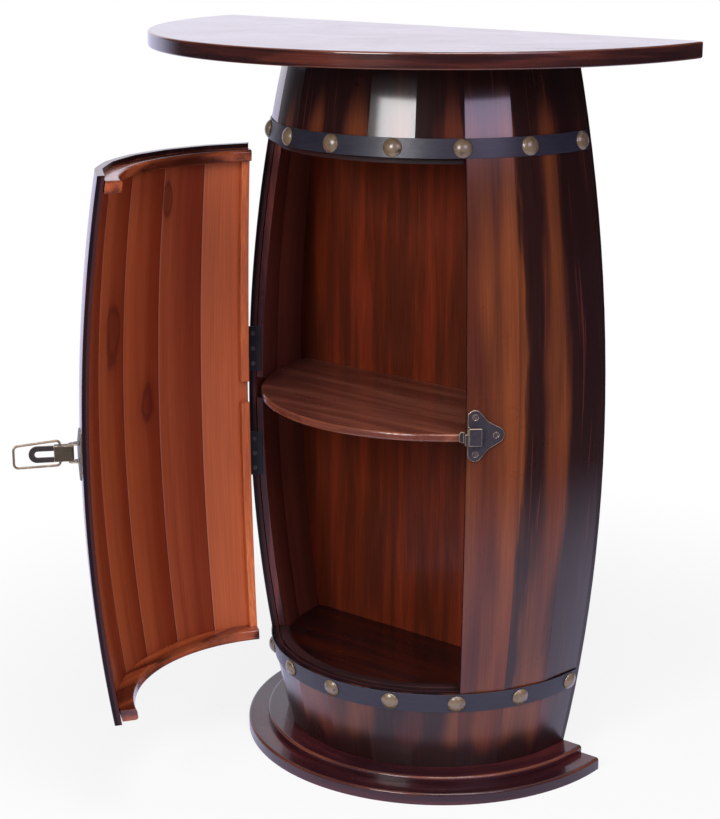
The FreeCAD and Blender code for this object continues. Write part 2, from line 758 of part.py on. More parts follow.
# ---- build every node ----
def build_carcass():
    table_holes = carcass_holes(table_screw_start, board_thickness + carcass_screw_bite)
    plinth_holes = carcass_holes(plinth_screw_start, barrel_bottom + carcass_screw_bite)
    save(table_top().cut(table_holes), "table_top")
    save(inner_board(table_screw_start).cut(table_holes), "head_board")
    save(plinth_lower_step().cut(plinth_holes), "plinth_lower_step")
    save(plinth_upper_step().cut(plinth_holes), "plinth_upper_step")
    save(inner_board(barrel_bottom).cut(plinth_holes), "base_board")
    save(carcass_screws(), "carcass_screws")
    save(inner_board(floor_top - board_thickness), "floor_board")
    save(back_panel(), "back_panel")
    save(shelf(), "shelf")
    save(shelf_cleats(), "shelf_cleats")


def build_rails():
    outer = stave_thickness + curved_gap
    inner = stave_thickness + stop_rail_depth
    span = (hinge_side_angle, latch_side_angle)
    sill = bent_bar(floor_top, sill_top, outer, inner, *span)
    save(round_inner_edges(sill, inner, (sill_top,), rail_edge_round), "sill_rail")
    head = bent_bar(head_rail_bottom, head_rail_bottom + stop_rail_height, outer, inner, *span)
    save(round_inner_edges(head, inner, (head_rail_bottom,), rail_edge_round), "head_rail")


def stile(low, high, side):
    """A narrow strip along the hinge-side gap, on the door (1) or on the carcass (-1)."""
    reach = math.degrees((stile_width + hinge_side_gap / 2) / (bulge_radius - stave_thickness))
    start, end = sorted((hinge_side_angle, hinge_side_angle + side * reach))
    bar = bent_bar(low, high, stave_thickness + glue_gap, stave_thickness + stile_thickness, start, end)
    return bar.cut(hinge_gap_cut())


def hinge_gap_cut():
    return gap_slab(hinge_side_angle, hinge_side_gap, opening_bottom, opening_top)


def latch_gap_cut():
    return gap_slab(latch_side_angle, latch_side_gap, opening_bottom, opening_top)


def build_staves():
    door_span = (hinge_side_angle, latch_side_angle)
    over_door = even_angles(*door_span, door_stave_count)
    save_staves("upper", opening_top, barrel_top, over_door)
    save_staves("lower", barrel_bottom, opening_bottom, over_door)
    save_staves("right", barrel_bottom, barrel_top, even_angles(latch_side_angle, 90, right_stave_count),
                first_cuts=[latch_gap_cut()] + plate_screw_holes(keeper_edge, 1))
    save_staves("left", barrel_bottom, barrel_top, even_angles(-90, hinge_side_angle, left_stave_count),
                last_cuts=[hinge_gap_cut()] + hinge_screw_holes(-1))
    save_staves("door", door_bottom, door_top, over_door,
                first_cuts=[hinge_gap_cut()] + hinge_screw_holes(1),
                last_cuts=[latch_gap_cut()] + plate_screw_holes(latch_edge, -1))


def build_frame_fittings():
    save(stile(sill_top, notch_bottom, -1), "frame_jamb_lower")
    save(stile(notch_top, head_rail_bottom, -1), "frame_jamb_upper")
    save(hoop(upper_hoop_height, upper_hoop_width), "upper_hoop")
    save(hoop(lower_hoop_height, lower_hoop_width), "lower_hoop")
    save(hoop_nails(), "hoop_nails")
    save(keeper_plate(), "keeper_plate")
    save(group(plate_screws(keeper_edge, 1)), "keeper_screws")
    for name, middle in zip(("lower", "upper"), hinge_heights()):
        save(hinge_leaf(middle, -1, (0, 2)), "%s_hinge_frame_leaf" % name)
        save(open_door(hinge_leaf(middle, 1, (1,))), "%s_hinge_door_leaf" % name)
    save(hinge_pins(), "hinge_pins")
    save(group(hinge_screws(-1)), "hinge_frame_screws")


def build_door():
    outer = stave_thickness + glue_gap
    inner = stave_thickness + rail_depth
    cuts = group([hinge_gap_cut(), latch_gap_cut()])
    rails = {"door_top_rail": top_rail_top - rail_height, "door_bottom_rail": bottom_rail_bottom}
    for name, low in rails.items():
        bar = bent_bar(low, low + rail_height, outer, inner, hinge_side_angle, latch_side_angle)
        bar = round_inner_edges(bar, inner, (low, low + rail_height), rail_edge_round)
        save(open_door(bar.cut(cuts)), name)
    save(open_door(stile(bottom_rail_bottom + rail_height, notch_bottom, 1)), "door_stile_lower")
    save(open_door(stile(notch_top, top_rail_top - rail_height, 1)), "door_stile_upper")
    save(open_door(group(hinge_screws(1))), "hinge_door_screws")
    save(open_door(latch_plate()), "latch_plate")
    save(open_door(group(plate_screws(latch_edge, -1))), "latch_screws")
    save(open_door(latch_pin()), "latch_pin")
    save(open_door(latch_lever()), "latch_lever")
    save(open_door(latch_tongue()), "latch_tongue")
    save(open_door(latch_bail()), "latch_bail")


build_carcass()
build_rails()
build_staves()
build_frame_fittings()
build_door()
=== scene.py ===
import json
import math
from functools import partial

import bpy
import numpy
from bpy.props import FloatProperty, FloatVectorProperty, IntProperty, PointerProperty
from mathutils import Matrix, Vector


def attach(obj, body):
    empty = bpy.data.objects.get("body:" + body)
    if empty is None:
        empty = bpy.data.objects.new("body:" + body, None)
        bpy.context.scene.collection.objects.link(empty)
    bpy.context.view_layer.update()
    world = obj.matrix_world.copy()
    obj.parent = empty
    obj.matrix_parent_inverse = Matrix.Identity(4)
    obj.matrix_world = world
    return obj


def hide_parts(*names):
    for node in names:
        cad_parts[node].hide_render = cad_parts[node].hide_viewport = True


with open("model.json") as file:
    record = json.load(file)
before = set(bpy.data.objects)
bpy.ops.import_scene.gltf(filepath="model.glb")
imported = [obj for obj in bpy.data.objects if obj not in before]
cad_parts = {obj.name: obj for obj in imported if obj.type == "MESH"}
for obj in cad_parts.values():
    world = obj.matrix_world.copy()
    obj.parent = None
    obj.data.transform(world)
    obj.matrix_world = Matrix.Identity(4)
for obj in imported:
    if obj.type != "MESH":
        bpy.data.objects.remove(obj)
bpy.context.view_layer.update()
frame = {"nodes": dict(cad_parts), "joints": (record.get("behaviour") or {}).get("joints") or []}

bl_info = {
    "name": "Barrel bar cabinet",
    "version": (1, 0, 0),
    "blender": (4, 5, 0),
    "location": "3D View > Sidebar > Barrel",
    "description": "Staves, nails, screws and finishes of a half-round barrel bar cabinet",
    "category": "Object",
}

# ---- the staves' mesh ----
COLUMNS = 9                          # points across a stave
END_ROWS = 6                         # rows of points above and below the opening
MIDDLE_ROWS = 40                     # rows of points beside the opening
WELD_DISTANCE = 1e-6
SHARP_EDGE = math.radians(40)        # a sharper edge is eased
SEAM_EASING = 0.25                   # easing along a glued seam, as a share of a free edge's
FREE_GAP = 0.0005                    # a wider gap than this leaves a free edge
STAVE_SEED = 3
DOOR_FIRST, RIGHT_FIRST, LEFT_FIRST, UPPER_FIRST, LOWER_FIRST = 0, 10, 20, 30, 40   # numbers of first staves

# ---- the nails' and screws' meshes ----
NAIL_SEGMENTS = 32
NAIL_RINGS = 20
NAIL_RIM_SHARE = 0.1                 # share of the lower half-ball that becomes the upright rim
SCREW_SIDES = 28
SHANK_SIDES = 12
SHANK_TOP, SHANK_TIP = 0.35, 0.12    # radius of the shank in head radii
SLOT_LONG, SLOT_NARROW = 1.15, 0.28  # sides of the cross slot's bars in head radii
SLOT_RISE = 0.9                      # the bars' middle, in head heights above the head's underside
SCREW_SEED = 11
HEAD_SHARE = 0.9                     # points this far out, in head radii, belong to a screw's head
NAIL_SHARP_EDGE = math.radians(50)   # a sharper edge of a nail is shaded sharp

# ---- where the staves' colours change ----
STAVE_WIDTH = 0.0565                 # metres round the bulge from seam to seam
GLOW_PLACE = 0.31                    # where a stave is lightest, in widths from its middle
DARK_PLACE = -0.33                   # where it is darkest
FOOT_START, FOOT_FULL = 0.12, 0.09   # heights between which the barrel's foot begins
SIDE_SHADE_START, SIDE_SHADE_FULL = math.radians(75), math.radians(82)   # turns between which painted shade darkens the sides towards the wall
BANDS_END, BANDS_GONE = math.radians(70), math.radians(73)   # turns between which the dark bands fade out
BESIDE_LATCH = math.radians(51.7)    # turn from the front to the middle of the stave beside the latch
BESIDE_LATCH_HALF = math.radians(7.5)      # turn from that stave's middle to its edge
BESIDE_LATCH_BLUR = math.radians(0.3)
SEAM_HIGHLIGHT, SEAM_SHADOW = 0.472, 0.475      # where the painted highlight on a seam's edge and the seam's shadow start, in widths
SEAM_LINE = 0.49                     # where both are full
TOP_SHADE_START, TOP_SHADE_FULL = 0.7, 0.755     # heights between which painted shade under the table darkens the barrel's top
LOW_START, LOW_FULL = 0.065, 0.025   # heights between which its lower end gets dark
ROUND_RADIUS = 0.3                   # grain that runs round the axis is measured at this radius
RAIL_TOP = 0.6688                    # the door's staves are unsanded above this height
RAIL_TOP_BLUR = 0.0004

# the door's knots: number of the stave, (metres from its middle, height), (half width, half height)
KNOTS = (
    (3, (-0.004, 0.492), (0.013, 0.028)),
    (1, (0.022, 0.622), (0.005, 0.016)),
    (2, (-0.010, 0.402), (0.008, 0.019)),
)

# ---- the stage ----
BEHIND = (-0.74, 0.67)               # from the barrel away from the camera
AIM_HEIGHT = 0.68                    # where the lamps point
FLOOR_DROP = 0.0004                  # the floor lies this far under the plinth
FLOOR_STEP = 5                       # degrees between the points of the floor's edge
SENSOR_WIDTH = 36.0


# ---- what a user may change ----
def length(name, description, default):
    return FloatProperty(name=name, description=description, default=default, unit="LENGTH", precision=5)


def angle(name, description, degrees):
    return FloatProperty(name=name, description=description, default=math.radians(degrees), unit="ROTATION")


def share(name, description, default):
    return FloatProperty(name=name, description=description, default=default, min=0.0, max=1.0,
                         subtype="FACTOR")


def watts(name, description, default):
    return FloatProperty(name=name, description=description + " in watts", default=default, min=0.0,
                         unit="POWER")


def number(name, description, default, least=1):
    return IntProperty(name=name, description=description, default=default, min=least)


def colour(name, description, red, green, blue):
    """A colour written in the 0 to 255 steps of a paint chart."""
    linear = [((step / 255 + 0.055) / 1.055) ** 2.4 for step in (red, green, blue)]
    return FloatVectorProperty(name=name, description=description, default=linear,
                               subtype="COLOR", min=0, max=1)


class BarrelSizes(bpy.types.PropertyGroup):
    """Sizes of the staves and of where the door's opening cuts them."""
    bulge_radius: length("Bulge radius", "Outer radius of the barrel where it is widest", 0.2105)
    bulge_height: length("Bulge height", "Height of that widest place", 0.384)
    arc_radius: length("Stave arc", "Radius of the long curve of a stave", 1.68)
    thickness: length("Stave thickness", "Thickness of a stave", 0.0085)
    bottom: length("Barrel bottom", "Height of the staves' lower ends", 0.021)
    top: length("Barrel top", "Height of the staves' upper ends", 0.774)
    opening_bottom: length("Opening bottom", "Top ends of the short staves under the door", 0.1145)
    opening_top: length("Opening top", "Bottom ends of the short staves over the door", 0.677)
    door_bottom: length("Door bottom", "Lower end of the door's staves", 0.117)
    door_top: length("Door top", "Upper end of the door's staves", 0.6736)
    hinge_side: angle("Hinge side", "Angle of the gap beside the hinges, from the front", -48.9)
    latch_side: angle("Latch side", "Angle of the gap beside the latch, from the front", 44.0)
    hinge_gap: length("Hinge gap", "Width of the gap beside the hinges", 0.002)
    latch_gap: length("Latch gap", "Width of the gap beside the latch", 0.0022)
    seam_gap: length("Seam gap", "Width of the glued seam between two staves", 0.00008)
    door_staves: number("Door staves", "Number of staves in the door", 6, 2)
    side_staves: number("Side staves", "Number of staves on each side", 3)
    outer_flatness: share("Outer flatness", "How flat a stave's outer face is across its width", 0.55)
    inner_flatness: share("Inner flatness", "How flat a stave's inner face is across its width", 0.7)
    edge_ease: length("Edge easing", "How far a stave's free edges are sanded round", 0.0008)


class FittingSizes(bpy.types.PropertyGroup):
    """Sizes of the nails and screws."""
    nail_count: number("Nails", "Nails in each hoop", 9)
    nail_pitch: angle("Nail pitch", "Angle from one nail to the next", 21.65)
    nail_radius: length("Nail radius", "Radius of a nail's head", 0.0095)
    nail_height: length("Nail height", "Height of a nail's head", 0.005)
    nail_rim: length("Nail rim", "Height of the upright rim of a nail's head", 0.0006)
    nail_seat: length("Nail seat", "From the staves to the underside of a nail's head", 0.0014)
    upper_hoop: length("Upper hoop", "Height of the upper hoop's middle", 0.6868)
    lower_hoop: length("Lower hoop", "Height of the lower hoop's middle", 0.1028)
    screw_radius: length("Screw head", "Radius of a plate screw's head", 0.0028)
    hinge_screw_radius: length("Hinge screw head", "Radius of a hinge screw's head", 0.0024)
    screw_height: length("Screw head height", "Thickness of a screw's head", 0.0008)
    screw_length: length("Screw length", "Length of a screw under its head", 0.0075)


class FinishColours(bpy.types.PropertyGroup):
    """Colours of the finishes."""
    # also the colour of painted shade: on the barrel's top and sides, and on the head and sill rails
    stain_dark: colour("Dark stain", "Darkest parts of the stained staves", 32, 15, 17)
    stain_orange: colour("Orange stain", "Lightest parts of the stained staves", 125, 66, 34)
    stain_red: colour("Red stain", "Redder parts of the stained staves", 96, 43, 29)
    # also the painted light on the plank beside the hinges
    inside_light: colour("Inside light", "Lightest planks inside", 182, 92, 52)
    inside_mid: colour("Inside middle", "Most planks inside", 128, 49, 24)
    barrel_light: colour("Barrel light", "Lighter parts of the barrel's inside", 150, 78, 56)
    barrel_mid: colour("Barrel middle", "Most of the barrel's inside", 106, 54, 42)
    inside_dark: colour("Inside dark", "Darkest planks and seams inside", 66, 22, 12)
    knot_red: colour("Knot red", "Dark red hearts of the knots", 72, 18, 14)
    back_dark: colour("Back dark", "Darker streaks of the back panel", 88, 36, 18)
    frame_stain: colour("Frame stain", "Dark stain on the jambs and the cut edges", 62, 32, 34)
    edge_black: colour("Edge black", "Nearly black outer half of the staves' cut edges", 20, 17, 24)
    # painted highlight along one edge of each inside plank's seam
    painted_seam_highlight: colour("Seam edge", "Pale rubbed edges of the planks inside", 176, 120, 108)
    stile_light: colour("Stile light", "Lighter streaks of the door's stiles", 214, 118, 68)
    stile_mid: colour("Stile middle", "Most of the door's stiles", 186, 94, 52)
    jamb_red: colour("Jamb red", "Lighter streaks of the frame's jambs", 150, 66, 54)
    shelf_dark: colour("Shelf dark", "Darker streaks of the shelf", 106, 58, 46)
    shelf_light: colour("Shelf light", "Lighter streaks of the shelf", 150, 92, 72)
    plinth_red: colour("Plinth red", "Lighter streaks of the plinth", 82, 35, 38)
    plinth_dark: colour("Plinth dark", "Most of the plinth", 46, 19, 25)
    board_worn: colour("Board worn", "Rubbed edges of the table and the plinth", 152, 84, 44)
    board_dark: colour("Board dark", "Darker parts of the table top", 40, 19, 20)
    board_warm: colour("Board warm", "Lighter streaks of the table top", 92, 44, 32)
    iron: colour("Hoop iron", "Blackened iron of the hoops", 38, 37, 48)
    brass: colour("Nail brass", "Domes of the nails", 255, 222, 170)
    # painted shade round the nails' rims, given as a darker brass
    brass_rim_shade: colour("Nail rim", "Old, dark brass round the nails' rims", 62, 46, 34)
    bronze: colour("Bronze", "Old bronze of the keeper and the latch's plate", 80, 75, 82)
    bronze_olive: colour("Olive bronze", "Browner bronze of the lever", 100, 88, 72)
    bronze_bare: colour("Bare bronze", "Rubbed bronze of the bail", 150, 128, 100)
    bronze_dark: colour("Dark bronze", "Darkened finger tab of the latch", 64, 55, 54)
    bronze_worn: colour("Worn bronze", "Worn edges of the bronze", 222, 198, 164)
    steel: colour("Screw steel", "Hidden screws and the hoops' worn edges", 150, 150, 152)


class Studio(bpy.types.PropertyGroup):
    """The camera and the lights."""
    camera_place: FloatVectorProperty(name="Camera", description="Place of the camera", unit="LENGTH",
                                      subtype="TRANSLATION", default=(1.2197, -1.6291, 0.9379))
    camera_turn: angle("Camera turn", "Turn of the camera about the vertical", 39.3)
    camera_dip: angle("Camera dip", "How far the camera looks down", 15.54)
    camera_roll: angle("Camera roll", "Lean of the camera", -0.12)
    lens: FloatProperty(name="Lens", description="Focal length of the lens in millimetres", default=83.54,
                        unit="CAMERA")
    ambient: FloatProperty(name="Ambient", description="Strength of the even light all round", default=0.2)
    key_power: watts("Key light", "Power of the front softbox", 27.0)
    side_power: watts("Side light", "Power of the right softbox", 13.0)
    fill_power: watts("Fill light", "Power of the high soft lamp", 40.0)
    floor_radius: length("Floor radius", "Radius of the pale floor", 14.0)


# ---- writing node trees ----
class Flow:
    """A number or vector on its way through a node tree, so that sums can be written as sums."""

    def __init__(self, tree, socket):
        self.tree = tree
        self.socket = socket

    def math(self, operation, *others):
        return flow(self.tree, "ShaderNodeMath", dict(enumerate((self,) + others)), operation=operation)

    def __add__(self, other):
        return self.math("ADD", other)

    def __sub__(self, other):
        return self.math("SUBTRACT", other)

    def __mul__(self, other):
        return self.math("MULTIPLY", other)

    def __truediv__(self, other):
        return self.math("DIVIDE", other)

    def taken_from(self, number):
        return self * -1.0 + number

    def dims(self, amount):
        """A factor that falls from 1 to 1 - amount while this rises from 0 to 1."""
        return self * -amount + 1.0

    def ramp(self, low, high, start=0.0, end=1.0, smooth=True):
        """start up to the value low, end from the value high, and a slope between them."""
        kind = "SMOOTHSTEP" if smooth else "LINEAR"
        return flow(self.tree, "ShaderNodeMapRange", {0: self, 1: low, 2: high, 3: start, 4: end},
                    interpolation_type=kind, clamp=True)

    def parts(self):
        made = add_node(self.tree, "ShaderNodeSeparateXYZ", {0: self})
        return [Flow(self.tree, socket) for socket in made.outputs]


def join(tree, value, socket):
    """Lead a flow to a socket, or set the socket to a plain value; None leaves it as it is."""
    if isinstance(value, Flow):
        tree.links.new(value.socket, socket)
    elif value is not None:
        socket.default_value = value


def join_all(tree, values, node):
    for place, value in values.items():
        join(tree, value, node.inputs[place])


def add_node(tree, kind, inputs, **settings):
    made = tree.nodes.new(kind)
    for name, value in settings.items():
        setattr(made, name, value)
    join_all(tree, inputs, made)
    return made


def flow(tree, kind, inputs=None, output=0, **settings):
    """Add a node and give one of its outputs."""
    return Flow(tree, add_node(tree, kind, inputs or {}, **settings).outputs[output])


def vector(tree, x, y, z):
    return flow(tree, "ShaderNodeCombineXYZ", {0: x, 1: y, 2: z})


def dot(tree, first, second):
    return flow(tree, "ShaderNodeVectorMath", {0: first, 1: second}, "Value", operation="DOT_PRODUCT")


def mixed(tree, factor, first, second, blend="MIX"):
    return flow(tree, "ShaderNodeMix", {0: factor, 6: first, 7: second}, 2, data_type="RGBA",
                blend_type=blend)


def noise(tree, place, scale=1.0, detail=2.0, roughness=0.5, distortion=0.0):
    return flow(tree, "ShaderNodeTexNoise", {"Vector": place, "Scale": scale, "Detail": detail,
                                             "Roughness": roughness, "Distortion": distortion})


def paint(name, strength=1.0):
    """One of the finish colours, for a colour socket."""
    return (*[step * strength for step in getattr(bpy.context.scene.finish_colours, name)], 1.0)


def sockets(kind, *names):
    return dict.fromkeys(names, kind)


def new_tree(name, kind, inputs, outputs):
    """A node tree with named sockets, and its inputs as flows by name."""
    tree = bpy.data.node_groups.new(name, kind)
    for direction, wanted in (("INPUT", inputs), ("OUTPUT", outputs)):
        for label, socket_type in wanted.items():
            tree.interface.new_socket(name=label, in_out=direction, socket_type="NodeSocket" + socket_type)
    start = tree.nodes.new("NodeGroupInput")
    end = tree.nodes.new("NodeGroupOutput")
    return tree, {label: Flow(tree, start.outputs[label]) for label in inputs}, end


# ---- Geometry Nodes: staves ----
def stored(tree, geometry, name, value, kind="FLOAT", domain="POINT"):
    return flow(tree, "GeometryNodeStoreNamedAttribute",
                {"Geometry": geometry, "Name": name, "Value": value}, data_type=kind, domain=domain)


def read(tree, name, kind="FLOAT"):
    return flow(tree, "GeometryNodeInputNamedAttribute", {"Name": name}, data_type=kind)


def placed(tree, geometry, position):
    return flow(tree, "GeometryNodeSetPosition", {"Geometry": geometry, "Position": position})


def copied(tree, points, instance, **others):
    """Real copies of a mesh at each point."""
    copies = flow(tree, "GeometryNodeInstanceOnPoints", {"Points": points, "Instance": instance, **others})
    return flow(tree, "GeometryNodeRealizeInstances", {0: copies})


def painted(tree, geometry, finish, selection=None):
    return flow(tree, "GeometryNodeSetMaterial",
                {"Geometry": geometry, "Selection": selection, "Material": finish})


def skin_radius(height, size, depth):
    """Radius of the barrel at a height, at a depth inside its skin, for numbers in a tree."""
    rise = height - size["Bulge Height"]
    inner_arc = size["Arc Radius"] - depth
    return (inner_arc * inner_arc - rise * rise).math("SQRT") - size["Arc Radius"] + size["Bulge Radius"]


def stave_tree():
    """Staves side by side, bent round the barrel, each a little flatter than the round."""
    inputs = {**sockets("Float", "Bulge Radius", "Bulge Height", "Arc Radius", "Thickness", "Bottom", "Top",
                        "Opening Bottom", "Opening Top", "Start Angle", "End Angle", "First", "Start Gap",
                        "End Gap", "Seam Gap", "Outer Flatness", "Inner Flatness"),
              **sockets("Int", "Count", "Seed"), **sockets("Material", "Outer Finish", "Inner Finish")}
    tree, size, end = new_tree("barrel staves", "GeometryNodeTree", inputs, {"Geometry": "Geometry"})
    rows = 2 * END_ROWS + MIDDLE_ROWS
    block = flow(tree, "GeometryNodeMeshCube",
                 {"Size": (1, 1, 1), "Vertices X": COLUMNS, "Vertices Y": 2, "Vertices Z": rows})
    x, y, z = flow(tree, "GeometryNodeInputPosition").parts()
    unit = stored(tree, block, "place", vector(tree, x + 0.5, y + 0.5, z + 0.5), "FLOAT_VECTOR")
    line = flow(tree, "GeometryNodeMeshLine", {"Count": size["Count"], "Offset": (0, 0, 0)})
    points = stored(tree, line, "plank", flow(tree, "GeometryNodeInputIndex") + 0.0)
    staves = copied(tree, points, unit)

    across, depth, along = read(tree, "place", "FLOAT_VECTOR").parts()
    plank = read(tree, "plank")

    # heights of the rows of points, below, beside and above the opening
    row = along * (rows - 1)
    middle_start, middle_end = END_ROWS, END_ROWS + MIDDLE_ROWS - 1
    low = row.ramp(0, middle_start - 1, smooth=False) * (size["Opening Bottom"] - size["Bottom"])
    opening = size["Opening Top"] - size["Opening Bottom"]
    middle = row.ramp(middle_start, middle_end, smooth=False) * opening
    high = row.ramp(middle_end + 1, rows - 1, smooth=False) * (size["Top"] - size["Opening Top"])
    height = size["Bottom"] + low + middle + high
    beside_door = row.math("GREATER_THAN", middle_start - 0.5) * row.math("LESS_THAN", middle_end + 0.5)

    # the outer face sinks in mid-stave and the inner face moves out at the seams, both towards flat
    pitch = (size["End Angle"] - size["Start Angle"]) / size["Count"]
    turn = size["Start Angle"] + (plank + across) * pitch
    off_middle = (across - 0.5) * pitch
    half_cosine = (pitch * 0.5).math("COSINE")
    cosine = off_middle.math("COSINE")
    outer_sink = (half_cosine / cosine).taken_from(1.0) * size["Outer Flatness"]
    inner_rise = (cosine.taken_from(1.0) / cosine) * size["Inner Flatness"]
    outer = skin_radius(height, size, 0.0) * outer_sink.taken_from(1.0)
    inner = skin_radius(height, size, size["Thickness"]) * (inner_rise + 1.0)
    radius = outer + (inner - outer) * depth

    # the gaps at the row's two ends are wide only beside the door
    is_first = plank.math("LESS_THAN", 0.5)
    is_last = plank.math("GREATER_THAN", size["Count"] - 1.5)
    start_gap = size["Seam Gap"] + (size["Start Gap"] - size["Seam Gap"]) * is_first * beside_door
    end_gap = size["Seam Gap"] + (size["End Gap"] - size["Seam Gap"]) * is_last * beside_door
    shift = start_gap * 0.5 * across.taken_from(1.0) - end_gap * 0.5 * across
    sine, cosine_turn = turn.math("SINE"), turn.math("COSINE")
    bent = vector(tree, radius * sine + shift * cosine_turn, shift * sine - radius * cosine_turn, height)

    stave = plank + size["First"]
    random = flow(tree, "FunctionNodeRandomValue", {2: 0.0, 3: 1.0, 7: stave, 8: size["Seed"]}, 1,
                  data_type="FLOAT")
    grain = vector(tree, off_middle * size["Bulge Radius"], depth * size["Thickness"], height)
    made = stored(tree, placed(tree, staves, bent), "grain", grain, "FLOAT_VECTOR")
    made = stored(tree, made, "tone", random)
    made = stored(tree, made, "stave", stave)
    made = stored(tree, made, "turn", turn)
    made = flow(tree, "GeometryNodeMergeByDistance", {"Geometry": made, "Distance": WELD_DISTANCE})

    sharp = flow(tree, "GeometryNodeInputMeshEdgeAngle").math("GREATER_THAN", SHARP_EDGE)
    free_start = is_first * across.math("LESS_THAN", 0.01) * size["Start Gap"].math("GREATER_THAN", FREE_GAP)
    free_end = is_last * across.math("GREATER_THAN", 0.99) * size["End Gap"].math("GREATER_THAN", FREE_GAP)
    weight = sharp * ((free_start + free_end) * (1 - SEAM_EASING) + SEAM_EASING)
    made = stored(tree, made, "bevel_weight_edge", weight, "FLOAT", "EDGE")
    made = painted(tree, made, size["Outer Finish"])
    made = painted(tree, made, size["Inner Finish"], depth.math("GREATER_THAN", 0.99))
    join(tree, made, end.inputs[0])
    return tree


# ---- Geometry Nodes: nails and screws ----
def domed_nail(tree, size):
    """A unit ball pressed into a nail; its attribute 'rim' is 0 in the middle and 1 at the edge."""
    ball = flow(tree, "GeometryNodeMeshUVSphere",
                {"Segments": NAIL_SEGMENTS, "Rings": NAIL_RINGS, "Radius": 1.0})
    x, y, z = flow(tree, "GeometryNodeInputPosition").parts()
    # polar is 0 at the ball's top, 1 at its equator and 2 at its bottom
    polar = z.math("MAXIMUM", -1.0).math("MINIMUM", 1.0).math("ARCCOSINE") * (2 / math.pi)
    upper = polar.math("MINIMUM", 1.0)
    lower = (polar - 1.0).math("MAXIMUM", 0.0)
    half_cap = (size["Head Height"] / size["Head Radius"]).math("ARCTANGENT") * 2.0
    sweep = half_cap * upper
    closing = lower.ramp(NAIL_RIM_SHARE, 1.0, 1.0, 0.0, smooth=False)
    spread = (sweep.math("SINE") / half_cap.math("SINE")) * closing
    drop = lower.ramp(0.0, NAIL_RIM_SHARE, 0.0, 1.0, smooth=False)
    dome = (sweep.math("COSINE") - half_cap.math("COSINE")) / half_cap.math("COSINE").taken_from(1.0)
    rise = dome * (size["Head Height"] - size["Rim"]) + size["Rim"] * drop.taken_from(1.0)
    flat = (x * x + y * y).math("SQRT").math("MAXIMUM", 1e-6)
    out = size["Head Radius"] * spread / flat
    return stored(tree, placed(tree, ball, vector(tree, x * out, y * out, rise)), "rim", upper)


def nail_tree():
    """Domed nails round two hoops, square to the staves' long curve."""
    inputs = {**sockets("Float", "Bulge Radius", "Bulge Height", "Arc Radius", "Upper Hoop", "Lower Hoop",
                        "Pitch", "Seat", "Head Radius", "Head Height", "Rim"),
              "Count": "Int", "Finish": "Material"}
    tree, size, end = new_tree("hoop nails", "GeometryNodeTree", inputs, {"Geometry": "Geometry"})
    index = flow(tree, "GeometryNodeInputIndex") + 0.0
    low_row = index.math("GREATER_THAN", size["Count"] - 0.5)
    turn = (index - low_row * size["Count"] - (size["Count"] - 1.0) * 0.5) * size["Pitch"]
    height = size["Upper Hoop"] + (size["Lower Hoop"] - size["Upper Hoop"]) * low_row
    lean = (height - size["Bulge Height"]) / size["Arc Radius"]
    level = (lean * lean).taken_from(1.0).math("SQRT")
    sine, cosine = turn.math("SINE"), turn.math("COSINE")
    reach = skin_radius(height, size, 0.0) + size["Seat"] * level
    spot = vector(tree, reach * sine, reach * cosine * -1.0, height + size["Seat"] * lean)
    outward = vector(tree, level * sine, level * cosine * -1.0, lean)
    line = flow(tree, "GeometryNodeMeshLine", {"Count": size["Count"] * 2.0, "Offset": (0, 0, 0)})
    aimed = flow(tree, "FunctionNodeAlignRotationToVector", {"Vector": outward}, axis="Z")
    nails = copied(tree, placed(tree, line, spot), domed_nail(tree, size), Rotation=aimed)
    join(tree, painted(tree, nails, size["Finish"]), end.inputs[0])
    return tree


def cross_head_screw(tree, size):
    """One screw that points up, with its head's underside at height 0."""
    radius, thick = size["Head Radius"], size["Head Height"]
    head = flow(tree, "GeometryNodeMeshCylinder",
                {"Vertices": SCREW_SIDES, "Radius": radius, "Depth": thick})
    head = flow(tree, "GeometryNodeTransform", {0: head, "Translation": vector(tree, 0.0, 0.0, thick * 0.5)})
    cutters = add_node(tree, "GeometryNodeJoinGeometry", {})
    for wide, deep in ((SLOT_LONG, SLOT_NARROW), (SLOT_NARROW, SLOT_LONG)):
        bar = flow(tree, "GeometryNodeMeshCube", {"Size": vector(tree, radius * wide, radius * deep, thick)})
        rise = vector(tree, 0.0, 0.0, thick * SLOT_RISE)
        join(tree, flow(tree, "GeometryNodeTransform", {0: bar, "Translation": rise}), cutters.inputs[0])
    cut = flow(tree, "GeometryNodeMeshBoolean",
               {0: head, 1: Flow(tree, cutters.outputs[0]), "Self Intersection": True},
               operation="DIFFERENCE", solver="EXACT")
    shank = flow(tree, "GeometryNodeMeshCone",
                 {"Vertices": SHANK_SIDES, "Radius Top": radius * SHANK_TIP,
                  "Radius Bottom": radius * SHANK_TOP, "Depth": size["Length"]})
    turned_down = flow(tree, "FunctionNodeEulerToRotation", {0: (math.pi, 0, 0)})
    whole = add_node(tree, "GeometryNodeJoinGeometry", {})
    join(tree, cut, whole.inputs[0])
    join(tree, flow(tree, "GeometryNodeTransform", {0: shank, "Rotation": turned_down}), whole.inputs[0])
    return Flow(tree, whole.outputs[0])


